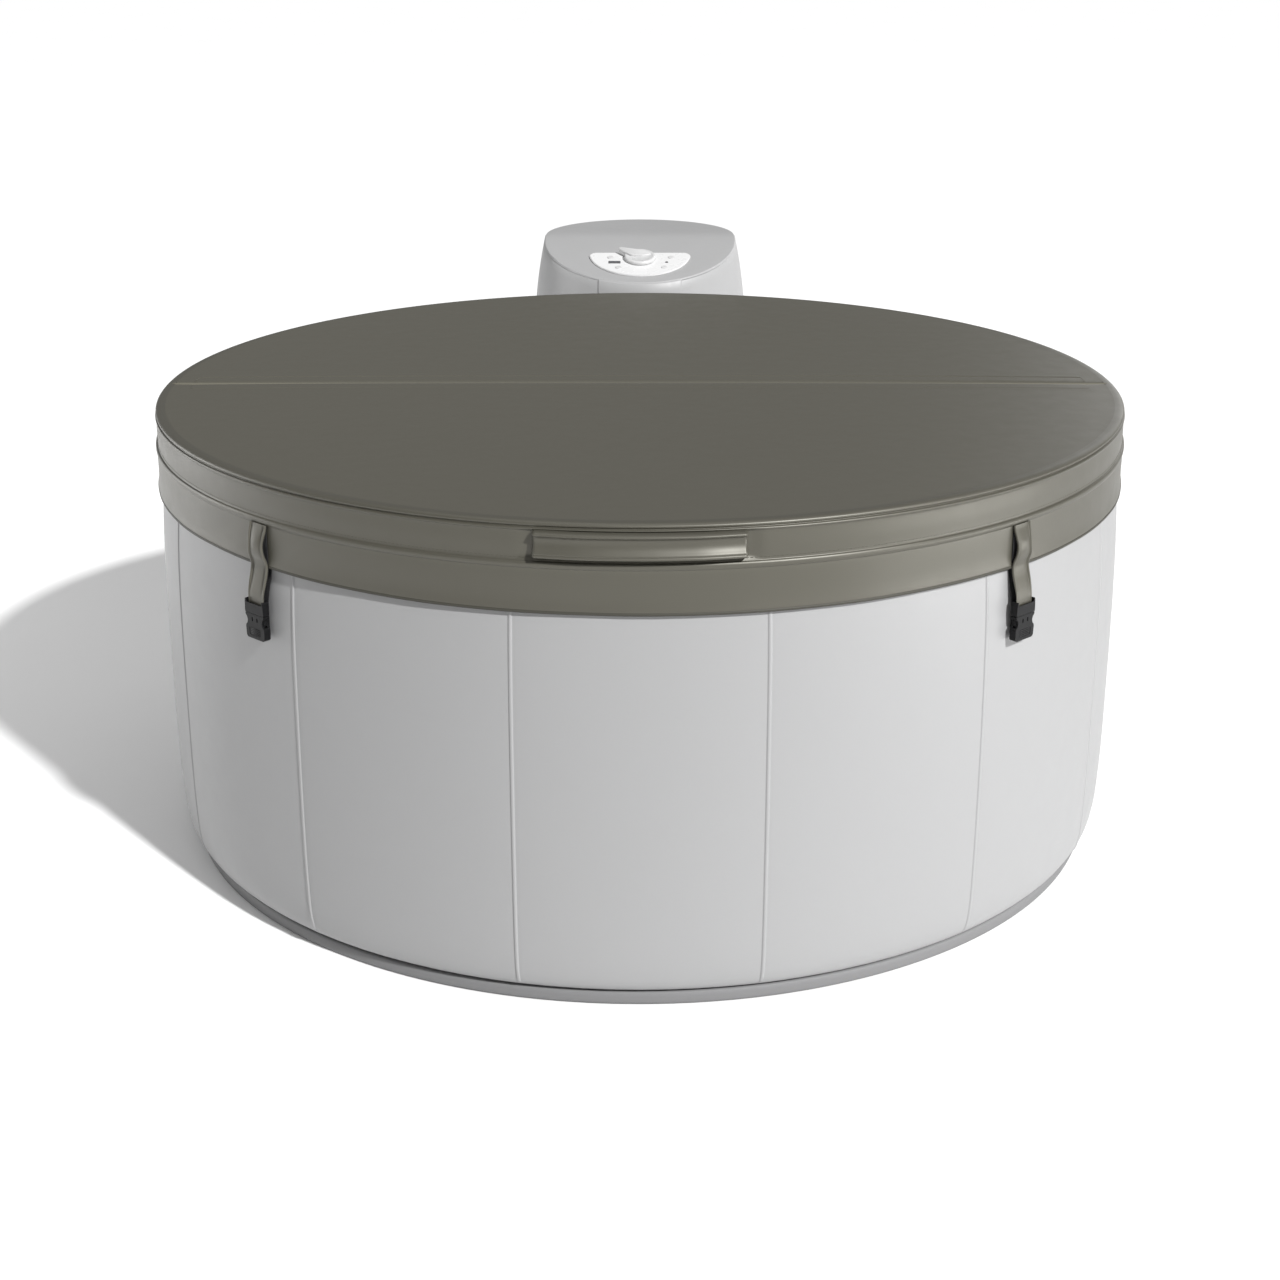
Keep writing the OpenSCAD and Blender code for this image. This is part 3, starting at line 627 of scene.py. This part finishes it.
    def stitch(p, t, nrm, length, w):
        t, nrm = np.array(t), np.array(nrm)
        side_ = np.cross(t, nrm)
        base = len(vs)
        for u, h in ((-.5, 0), (-.36, .7), (0, 1.0), (.36, .7), (.5, 0)):
            for sd in (-1, -0.5, 0.5, 1):
                hh = h * (1.0 if abs(sd) < 1 else 0.25)
                vs.append(tuple(np.array(p) + t * u * length + nrm * (hh * w * 0.55) + side_ * sd * w * 0.5))
        for i in range(4):
            for j in range(3):
                a = base + i * 4 + j
                fs.append((a, a + 4, a + 5, a + 1))
    for z, rr in ((0.6468, 0.7505),):
        for i in range(n):
            a = math.radians(rng[0]) + (i + 0.5) / n * math.pi
            er = (math.cos(a), math.sin(a), 0)
            et = (-math.sin(a), math.cos(a), 0)
            stitch((rr * er[0], rr * er[1], z), et, er, 0.0038, 0.0007)
    # beside the fold
    nn = int(1.46 / step)
    for i in range(nn):
        x = -0.73 + (i + 0.5) / nn * 1.46
        y = sgn * (GAP + 0.036)
        z = top_z(x, y)
        stitch((x, y, z), (1, 0, 0), (0, 0, 1), 0.0038, 0.0007)
    so = mesh_of("cover_%s_stitching" % tag, vs, fs, M_thread)
    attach(so, body)
    return o


pad_f = cover_half(True)
pad_r = cover_half(False)

# Folding strip: one strip of vinyl that joins the halves
sv = []
sx = 200
prof = []
for k in range(25):
    t = k / 24
    y = -0.0034 + 0.0068 * t
    z = TOP - 0.0022 + 0.0032 * (1 - abs(2 * t - 1) ** 2.2)
    prof.append((y, z))
under_p = [(y, z - 0.0009) for y, z in reversed(prof)]
sec = prof + under_p
for i in range(sx + 1):
    x = -0.7465 + 1.493 * i / sx
    drop = 0.0
    e = max(0.0, (abs(x) - 0.740) / 0.0065)
    drop = 0.0035 * e * e
    for y, z in sec:
        sv.append((x, y, z - drop))
fs_ = grid_faces(sx + 1, len(sec), wrap_v=True)
fs_.append(tuple(range(len(sec))))
fs_.append(tuple(sx * len(sec) + j for j in reversed(range(len(sec)))))
# The strip's paler vinyl is a painted highlight along the fold.
strip = mesh_of("fold_strip", sv, fs_, M_fold_highlight, angle=60)
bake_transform(strip)
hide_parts("cover_fold_welt")

# ---------------------------------------------------------------- carry handle
HA = math.radians(10.45)


def handle():
    r0 = 0.7478
    zc = 0.6665
    n = 120
    line, frames, secs = [], [], []
    face = [(-17.2, -5.5), (-17.4, -1.5), (-17.2, 2.6), (-16.7, 5.0), (-15.6, 6.9), (-14.2, 7.5), (-13.0, 7.1), (-12.2, 6.3),
            (-11.0, 6.9), (-9.5, 6.4), (-7.5, 5.0), (-5, 3.5), (-2, 2.2), (1, 1.3), (4, 0.9), (7, 1.0), (9, 1.5), (10.6, 2.6),
            (11.5, 3.8), (12.4, 5.0), (13.6, 5.6), (14.8, 5.0), (15.8, 3.2), (16.6, 0.6), (17.2, -3.0), (17.4, -6.5)]
    back = [(16.4, -6.3), (15.8, -3.2), (15.0, -0.9), (10, -0.7), (4, -0.8), (-2, 0.4), (-7.5, 3.0), (-12, 4.4), (-15.6, 2.0), (-16.3, -1.5), (-16.1, -5.3)]
    for i in range(n + 1):
        s = -1 + 2 * i / n
        e = abs(s)
        s = math.copysign(e ** 0.9, s)                    # more rows near the sewn ends
        e = abs(s)
        a = -math.pi / 2 + s * HA
        er = np.array((math.cos(a), math.sin(a), 0))
        line.append(er * 0)
        frames.append((er, np.array((0, 0, 1))))
        off = 0.0108 * (1 - smoothstep(0.968, 1.0, e) ** 1.5) - 0.0020 * smoothstep(0.5, 0.95, e)
        wv = 0.00006 * math.sin(s * 11)
        k_ = min(1.0, off / 0.009)
        secs.append([(r0 + off + wv + (v * k_ if v < 0 else v) / 1000, zc + u / 1000) for u, v in face + back])
    return sweep("carry_handle_grip", line, frames, lambda k: secs[k], M_band_shaded, angle=70)


grip = handle()
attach(grip, "cover_front")
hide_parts("carry_handle")


# ---------------------------------------------------------------- straps and buckles
def at_strap(s):
    """(u across, v outward, w up) at a strap, to a point."""
    f = math.radians(STRAP_A * s)
    ex = np.array((math.cos(f), math.sin(f), 0))
    out = np.array((math.sin(f), -math.cos(f), 0))

    def place(u, v, w):
        return tuple(ex * u + out * v + np.array((0, 0, w)))
    return place, ex, out


STRAP = [(753.9, 634), (755.2, 628), (758.6, 619), (761.6, 610), (762.4, 601), (760.8, 592), (757.4, 584), (755.7, 577),
         (756.0, 571), (758.2, 561), (761.4, 551), (764.2, 542), (765.9, 534), (766.1, 526), (766.1, 519.6)]


def strap(s, tag):
    place, ex, out = at_strap(s)
    line2 = smooth_line([(r / 1000, z / 1000) for r, z in STRAP], 7)
    n = len(line2)
    line, frames, secs, back = [], [], [], []
    for i in range(n):
        r, z = line2[i]
        t = line2[min(i + 1, n - 1)] - line2[max(i - 1, 0)]
        t /= np.linalg.norm(t)
        nrm = np.array((-t[1], t[0]))
        if nrm[0] < 0:
            nrm = -nrm
        line.append(np.array(place(0, r, z)))
        V = out * nrm[0] + np.array((0, 0, 1)) * nrm[1]
        frames.append((ex, V))
        q = i / (n - 1)
        # width: full at the bead, drawn in over the bulge and at the buckle
        bulge = math.exp(-((z - 0.606) / 0.014) ** 2)
        low = smoothstep(0.560, 0.535, z) if z < 0.56 else 0.0
        low = 1 - smoothstep(0.532, 0.560, z)
        w = 0.0176 - 0.0030 * bulge - 0.0006 * low
        t0 = 0.0012
        rim = 2.3
        prof_ = [(-1.0, 0.0), (-0.99, 1.2), (-0.95, rim), (-0.88, rim), (-0.83, 1.3), (-0.79, 0.35), (-0.74, 0.3), (-0.66, 0.8),
                 (-0.45, 1.0), (0, 1.1), (0.45, 1.0), (0.66, 0.8), (0.74, 0.3), (0.79, 0.35), (0.83, 1.3), (0.88, rim),
                 (0.95, rim), (0.99, 1.2), (1.0, 0.0), (0.96, -0.6), (0.5, -0.6), (0, -0.6), (-0.5, -0.6), (-0.96, -0.6)]
        k_ = 1 - 0.72 * low                              # flattened where it enters the buckle
        sec = []
        for u, v in prof_:
            curl = -0.0022 * bulge * abs(u) ** 2          # the edges turn back over the bulge
            sec.append((u * w, v * t0 * (k_ if v > 0 else 1) + curl))
        secs.append(sec)
        bw = w * 0.93
        cb = -0.0022 * bulge
        back.append([(-bw, -0.0010 + cb), (0, -0.0010), (bw, -0.0010 + cb), (bw, -0.0018 + cb), (0, -0.0018), (-bw, -0.0018 + cb)])
    o = sweep("strap_vinyl_" + tag, line, frames, lambda k: secs[k], M_band_shaded, angle=75)
    b = sweep("strap_backing_" + tag, line, frames, lambda k: back[k], M_web, angle=40)
    # black sheet laid on the skirt behind the strap: painted shade that darkens the gap under the strap's bulge
    lin = [(0.7541, z / 1000) for z in (624, 616, 607, 598, 589, 582)]
    lo_ = sweep("strap_gap_shade_" + tag, [np.array(place(0, r, z)) for r, z in lin], [(ex, out)] * len(lin),
                [(-0.0166, -0.0005), (-0.0166, 0.0003), (-0.0160, 0.0006), (0.0160, 0.0006), (0.0166, 0.0003), (0.0166, -0.0005)],
                M_web, angle=40)
    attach(lo_, "cover_front")
    for p in (o, b):
        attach(p, "cover_front")
    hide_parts("strap_" + tag)
    return o


def webbing(s, tag):
    """Black webbing of the lower half, from behind the skirt down the back of the buckle."""
    place, ex, out = at_strap(s)
    pts = [(746.6, 628), (746.8, 604), (747.8, 586), (748.7, 573), (750.6, 560), (753.6, 546), (756.2, 534), (757.5, 522),
           (757.8, 500), (757.8, 476)]
    line2 = smooth_line([(r / 1000, z / 1000) for r, z in pts], 5)
    n = len(line2)
    line, frames = [], []
    for i in range(n):
        t = line2[min(i + 1, n - 1)] - line2[max(i - 1, 0)]
        t /= np.linalg.norm(t)
        nrm = np.array((-t[1], t[0]))
        if nrm[0] < 0:
            nrm = -nrm
        line.append(np.array(place(0, *line2[i])))
        frames.append((ex, out * nrm[0] + np.array((0, 0, 1)) * nrm[1]))
    w, h = 0.0160, 0.0007
    sec = [(-w, -h * .4), (-w, h * .4), (-w + .0008, h), (w - .0008, h), (w, h * .4), (w, -h * .4), (w - .0008, -h), (-w + .0008, -h)]
    o = sweep("buckle_webbing_" + tag, line, frames, sec, M_web, angle=50)
    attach(o, "tub")
    return o


def buckle(s, tag):
    place, ex, out = at_strap(s)
    mm = lambda pts: [(a / 1000, b / 1000) for a, b in pts]

    # lower half: shouldered at the mouth, waisted at the windows, block at the foot
    so = [(-16.8, 472), (16.8, 472), (19.6, 474.6), (20.2, 487.4), (19.5, 490.2), (16.7, 492.8), (15.3, 497.6), (16.8, 502.0),
          (19.4, 504.6), (20.0, 507.9), (-20.0, 507.9), (-19.4, 504.6), (-16.8, 502.0), (-15.3, 497.6), (-16.7, 492.8),
          (-19.5, 490.2), (-20.2, 487.4), (-19.6, 474.6)]
    so = rounded(mm(so), [0.0025, 0.0025, 0.003, 0.002, 0.0012, 0.0025, 0.003, 0.0025, 0.0012, 0.0008] +
                 [0.0008, 0.0012, 0.0025, 0.003, 0.0025, 0.0012, 0.002, 0.003], 3)
    body = prism("sock", so, 0.7603, 0.7707, place, M_buckle)
    cutters = [prism("c1", mm([(-15.4, 481), (15.4, 481), (15.4, 520), (-15.4, 520)]), 0.7627, 0.7683, place)]
    for x in (-24.8, 24.8):
        cutters.append(prism("c2", mm([(x - 10, 491.2), (x + 10, 491.2), (x + 10, 503.6), (x - 10, 503.6)]), 0.7628, 0.7682, place))
    for x in (-5.2, 5.2):
        cutters.append(prism("c3", rounded(mm([(x - 1.1, 497), (x + 1.1, 497), (x + 1.1, 503.2), (x - 1.1, 503.2)]), 0.0008, 3),
                             0.7675, 0.7740, place))
    cutters.append(prism("c4", rounded(mm([(-13, 476.5), (13, 476.5), (13, 488.5), (-13, 488.5)]), 0.0035, 4), 0.7702, 0.7740, place))
    cut(body, *cutters)
    add_bevel(body, 0.0008, 3, 40)
    ribs = []
    for k in range(4):
        z = 478.3 + 2.5 * k
        ribs.append(prism("rib", rounded(mm([(-10, z), (10, z), (10, z + 1), (-10, z + 1)]), 0.0004, 2), 0.7700, 0.7706, place, M_buckle))
    lower = join("buckle_lower_" + tag, [body] + ribs)
    lower.data.polygons.foreach_set("use_smooth", [True] * len(lower.data.polygons))
    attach(lower, "tub")
    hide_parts("buckle_socket_" + tag)

    # upper half: tapered head with the pocket that the strap enters
    po = [(-19.8, 508.5), (19.8, 508.5), (20.2, 512), (19.6, 523), (18.9, 528.6), (-18.9, 528.6), (-19.6, 523), (-20.2, 512)]
    po = rounded(mm(po), [0.001, 0.001, 0.0025, 0.004, 0.002, 0.002, 0.004, 0.0025], 4)
    head = prism("plug", po, 0.7603, 0.7709, place, M_buckle)
    pocket = prism("c5", mm([(-17.6, 518.6), (17.6, 518.6), (17.6, 540), (-17.6, 540)]), 0.7633, 0.7689, place)
    front_cut = prism("c6", rounded(mm([(-17.2, 523.2), (17.2, 523.2), (17.2, 545), (-17.2, 545)]), 0.0025, 4), 0.7680, 0.7800, place)
    arms = prism("c7", mm([(-15.2, 500), (15.2, 500), (12.6, 515), (-12.6, 515)]), 0.7627, 0.7683, place)
    cut(head, pocket, front_cut, arms)
    add_bevel(head, 0.0009, 3, 40)
    tongue = prism("tongue", rounded(mm([(-1.8, 482), (1.8, 482), (1.8, 516), (-1.8, 516)]), 0.0012, 3), 0.7634, 0.7674, place, M_buckle)
    add_bevel(tongue, 0.0004, 2)
    upper = join("buckle_upper_" + tag, [head, tongue])
    upper.data.polygons.foreach_set("use_smooth", [True] * len(upper.data.polygons))
    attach(upper, "cover_front")
    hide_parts("buckle_plug_" + tag)


for s_, tag_ in ((-1, "left"), (1, "right")):
    strap(s_, tag_)
    webbing(s_, tag_)
    buckle(s_, tag_)

# ---------------------------------------------------------------- wall jacket and base mat
WALL = [(612, 20.6), (640, 20.5), (690, 20.5), (716, 20.6), (727, 21.8), (735.5, 25), (742, 30.5), (746.6, 38), (750, 49),
        (752.6, 66), (754.2, 90), (755.3, 125), (755.9, 165), (756.1, 210), (756.1, 260), (755.9, 310), (755.4, 360),
        (754.7, 410), (753.6, 460), (752.0, 505), (750.0, 540), (747.4, 570), (745.2, 592), (743.2, 609), (740, 622), (734.6, 632.6),
        (726, 640.4), (714, 645), (700, 646.2), (670, 646.6), (640, 646.5), (612, 646.2), (606, 645.6), (604.4, 644)]
arc = [0, .0005, .0010, .0015, .0019, .0023, .0028, .0036, .005, .008, .013, .022, .038, .06, .09, .125]


def jacket():
    prof_ = smooth_line([(a / 1000, b / 1000) for a, b in WALL], 3)
    half = math.radians(PITCH / 2)
    offs = [a / 0.755 for a in arc] + [half]
    seam_offs = sorted(set([-o for o in offs[:-1]] + offs))
    angs = []
    for k in range(14):
        c = math.radians(SEAM0 + k * PITCH)
        for o in seam_offs:
            angs.append((c + o, o))
    verts = []
    for a, o in angs:
        dist = abs(o) * 0.755
        for r, z in prof_:
            side = smoothstep(0.62, 0.70, r)              # on the side and shoulder, not the flat rim
            lift = 0.0
            low = smoothstep(0.022, 0.040, z)
            up = 1 - smoothstep(0.628, 0.640, z)
            if dist < 0.0024:
                lift += 0.0014 * math.sqrt(max(0.0, 1 - (dist / 0.0024) ** 2)) * low * up
            # the panel swells a little away from its seams
            puff = (1 - math.exp(-(dist / 0.030) ** 1.2)) * 0.0006 * side * smoothstep(0.03, 0.12, z) * (1 - smoothstep(0.60, 0.64, z))
            crease = -0.00012 * math.exp(-((dist - 0.0036) / 0.0014) ** 2) * low * up * side
            wave = 0.00015 * math.sin(a * 23 + z * 9) * math.sin(z * 14 + a * 3) * side
            d = lift + puff + crease + wave
            if r > 0.70 or z < 0.1:
                verts.append(((r + d * side) * math.cos(a), (r + d * side) * math.sin(a), z))
            else:
                verts.append((r * math.cos(a), r * math.sin(a), z + 0.4 * (lift + puff)))
    m = len(prof_)
    o = mesh_of("jacket", verts, grid_faces(len(angs), m, wrap_u=True), M_jacket)
    s = o.modifiers.new("thick", "SOLIDIFY")
    s.thickness = 0.0014
    s.offset = -1
    apply_modifiers(o)
    return o


jk = jacket()
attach(jk, "tub")
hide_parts("outer_jacket", "seam_welts")

# inner bead that closes the rim over the liner
bead = revolve("rim_bead", [((0.5958 + 0.0041 * math.cos(q)), 0.6402 + 0.0041 * math.sin(q))
                            for q in np.linspace(0, 2 * math.pi, 18, endpoint=False)], 0, 360, 220, M_jacket)
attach(bead, "tub")

mat_prof = [(0, 0), (724, 0), (730, 0.3), (732.6, 1.6), (733.6, 4), (734.0, 8), (734.0, 13), (733.5, 17.2), (732.2, 19.3), (729, 19.9),
            (0, 19.9)]
mt = revolve("ground_mat", [(a / 1000, b / 1000) for a, b in mat_prof], 0, 360, 260, M_mat, closed=False, angle=50)
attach(mt, "tub")
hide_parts("base_pad")

# ---------------------------------------------------------------- tower
TP = [(221.5, 26), (224, 60), (226, 140), (226.3, 220), (226.2, 300), (225.2, 400), (222.3, 500), (217.9, 580), (211.9, 645), (205.9, 690),
      (199.3, 727), (192.9, 757)]
tline = smooth_line([(b / 1000, a / 1000) for a, b in TP], 8)


def tower_r(z):
    return float(np.interp(z, tline[:, 0], tline[:, 1]))


def top_z(side, t, drop):
    """Height where the tower's side meets the sloped top less drop."""
    z = 0.72
    for _ in range(30):
        z = cap_h(TY + tower_xy(side, t, z)[1]) - drop
    return z


def tower_xy(side, t, z, inset=0.0, edge=0.0):
    """Point of the tower's face at height z. side 'front' spans the joints at x = 80 mm, 'body' the rest."""
    r = tower_r(z) - inset
    if side == "all":
        th = 2 * math.pi * t
    elif side == "front":
        x = (0.07996 - edge) * (2 * t - 1)
        return x, -math.sqrt(r * r - x * x)
    else:
        th0 = -math.acos(min(1, (0.08004 + edge) / r))
        th = th0 + t * (math.pi - 2 * th0)
    return r * math.cos(th), r * math.sin(th)


def tower_skin(name, side, nt):
    """Outer skin whose edges are rounded and turned in, at the joints and at the top."""
    verts = []
    ts = [0.0, 0.0, 0.0] + list(np.linspace(0, 1, nt)) + [1.0, 1.0, 1.0]
    ins = [(0.0040, 0.0), (0.0003, 0.0), (0.0, 0.0001)] + [(0.0, 0.0004)] * nt + [(0.0, 0.0001), (0.0003, 0.0), (0.0040, 0.0)]
    for t, (inset, edge) in zip(ts, ins):
        zt = top_z(side, t, 0.0049)
        z0 = 0.0246
        col = [(z0 + 0.0006, 0.004), (z0, 0.0016), (z0 + 0.0003, 0.0005), (z0 + 0.0013, 0.0)]
        col += [(z0 + 0.0013 + (zt - z0 - 0.0026) * k / 44, 0.0) for k in range(1, 44)]
        col += [(zt - 0.0006, 0.0), (zt - 0.0001, 0.0003), (zt, 0.0009), (zt - 0.0002, 0.0040)]
        for z, d in col:
            x, y = tower_xy(side, t, z, inset + d, edge)
            verts.append((x, TY + y, z))
    m = len(col)
    o = mesh_of(name, verts, grid_faces(len(ts), m), M_tower, angle=50)
    s = o.modifiers.new("thick", "SOLIDIFY")
    s.thickness = 0.0022
    s.offset = -1
    apply_modifiers(o)
    return o


fp = tower_skin("tower_front_cover", "front", 50)
bd = tower_skin("tower_shell", "body", 220)
for o_, nd in ((fp, "tower_front_panel"), (bd, "tower_body")):
    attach(o_, "tower")
    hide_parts(nd)


def soft_cap(y):
    """The cap's height, with the break between its flat back and its sloped front rounded."""
    k = 0.022
    d = FOLD_Y - y
    return CAP_Z - 0.5 * (d + math.sqrt(d * d + k * k)) * math.tan(SLOPE)


def tower_cap():
    """Cap whose rim is crisp at the back and sides and softer at the front."""
    n = 300
    verts = []
    for i in range(n):
        t = i / n
        th = 2 * math.pi * t
        front = max(0.0, -math.sin(th))
        rho = 0.0012 + 0.0034 * front ** 1.5
        zt = top_z("all", t, 0.0)
        rt = tower_r(min(zt, 0.757))
        for f in (0.0, 0.12, 0.25, 0.38, 0.5, 0.6, 0.69, 0.77, 0.83, 0.88, 0.92, 0.95):
            x, y = rt * f * math.cos(th), TY + rt * f * math.sin(th)
            verts.append((x, y, soft_cap(y) - 0.0002))
        yr = TY + rt * math.sin(th)
        for q in (0, 15, 30, 45, 60, 75, 90):
            a = math.radians(q)
            r_ = rt - rho + rho * math.sin(a)
            verts.append((r_ * math.cos(th), TY + r_ * math.sin(th), soft_cap(yr) - rho + rho * math.cos(a) - 0.0002))
        zb = zt - 0.0050
        rb = tower_r(zb)
        for dr, dz in ((0.0, 0.0006), (-0.0006, 0.0), (-0.0040, 0.0), (-0.0042, 0.0022)):
            verts.append(((rb + dr) * math.cos(th), TY + (rb + dr) * math.sin(th), zb + dz))
    m = 12 + 7 + 4
    return mesh_of("tower_cap_shell", verts, grid_faces(n, m, wrap_u=True), M_cap, angle=50)


cp = tower_cap()
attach(cp, "tower")
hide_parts("tower_cap")


# ---------------------------------------------------------------- knob, panel and buttons
def on_slope(u, v, w):
    return tuple(SLOPE_M @ Vector((u, v, w)))


KV = -0.029
kp = [(0, 3.9), (29.8, 3.9), (30.7, 4.3), (31.2, 5.4), (31.1, 8.4), (30.5, 10.0), (29.2, 11.0), (27.2, 11.4), (25.8, 11.3), (25.0, 10.9),
      (0, 11.0)]
kv = []
for i in range(96):
    a = 2 * math.pi * i / 96
    for r_, h_ in kp:
        kv.append(on_slope(r_ / 1000 * math.cos(a), KV + r_ / 1000 * math.sin(a), h_ / 1000))
disc = mesh_of("disc", kv, grid_faces(96, len(kp), wrap_u=True), M_knob, angle=50)
fin_o = rounded([(u / 1000, v / 1000) for u, v in [(-43, 22.5), (-41, 26.5), (-36, 27), (0, 21.5), (21, 11), (21.5, 3), (5, -4), (-18, -3.5),
                                                   (-30, 8)]],
                [0.002, 0.002, 0.004, 0.02, 0.006, 0.006, 0.012, 0.012, 0.02], 6)
me_ = bpy.data.meshes.new("fin")
bm_ = bmesh.new()


def fin_top(u):
    return 0.0166 - 0.0036 * smoothstep(-0.043, 0.024, u)


lo_v = [bm_.verts.new(on_slope(u, KV + v, 0.0090 if u * u + v * v < 0.0285 ** 2 else 0.0045)) for u, v in fin_o]
hi_v = [bm_.verts.new(on_slope(u, KV + v, fin_top(u))) for u, v in fin_o]
bm_.faces.new(lo_v)
bm_.faces.new(list(reversed(hi_v)))
for i in range(len(lo_v)):
    j = (i + 1) % len(lo_v)
    bm_.faces.new([lo_v[i], hi_v[i], hi_v[j], lo_v[j]])
bmesh.ops.recalc_face_normals(bm_, faces=bm_.faces)
bm_.to_mesh(me_)
bm_.free()
me_.materials.append(M_knob)
me_.polygons.foreach_set("use_smooth", [True] * len(me_.polygons))
fin = new_obj("fin", me_)
add_bevel(fin, 0.0011, 3, 50)
knob = join("pointer_knob", [disc, fin])
knob.data.polygons.foreach_set("use_smooth", [True] * len(knob.data.polygons))
knob.data.set_sharp_from_angle(angle=math.radians(50))
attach(knob, "control_knob")
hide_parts("control_knob")
for nm in ("control_panel", "button_1", "button_2", "button_3", "button_4", "display_windows"):
    add_bevel(NODES[nm], 0.0004, 2, 40)

# ---------------------------------------------------------------- finish
# floor and light
fl = mesh_of("floor", [(-30, -30, 0), (30, -30, 0), (30, 30, 0), (-30, 30, 0)], [(0, 1, 2, 3)], smooth=False)
kf = Mat("floor_paint")
kf.link(kf.ramp(kf.noise(3.0), (0.90, 0.90, 0.90), (0.91, 0.91, 0.91)), kf.b.inputs["Base Color"])
kf.b.inputs["Roughness"].default_value = 0.9
kf.b.inputs["Specular IOR Level"].default_value = 0.1
kf.bump((kf.noise(60.0), 0.02, 0.001))
fl.data.materials.append(kf.m)

w = bpy.data.worlds.new("world")
sc.world = w
w.use_nodes = True
bg = w.node_tree.nodes["Background"]
bg.inputs["Color"].default_value = (1, 1, 1, 1)
bg.inputs["Strength"].default_value = 0.25


def light(kind, name, energy, loc, target, size=1.0, angle=None, size_y=None, color=(1, 1, 1)):
    d = bpy.data.lights.new(name, kind)
    d.energy = energy
    d.color = color
    if kind == "AREA":
        d.shape = "RECTANGLE"
        d.size = size
        d.size_y = size_y or size
    if angle is not None:
        d.angle = math.radians(angle)
    o = bpy.data.objects.new(name, d)
    sc.collection.objects.link(o)
    o.location = loc
    o.rotation_euler = (Vector(target) - Vector(loc)).to_track_quat("-Z", "Y").to_euler()
    return o


az, el = math.radians(39), math.radians(36.3)
sun_dir = Vector((math.sin(az) * math.cos(el), -math.cos(az) * math.cos(el), math.sin(el)))
light("SUN", "key", 4.7, tuple(sun_dir * 6), (0, 0, 0), angle=3)
light("AREA", "left_fill", 34, (-3.3, 0.8, 1.0), (-0.6, 0, 0.35), 1.6, size_y=1.6)
light("AREA", "right_soft", 28, (3.2, -1.4, 0.24), (0.3, -0.4, 0.5), 2.2, size_y=0.4)
light("AREA", "back_right", 20, (2.6, 4.0, 1.8), (0.4, 0, 0.65), 2.0, size_y=1.4)
light("AREA", "overhead", 24, (-0.4, 0.0, 4.6), (-0.4, 0, 0), 3.0, size_y=3.0)

sc.view_settings.view_transform = "Standard"
sc.view_settings.look = "None"
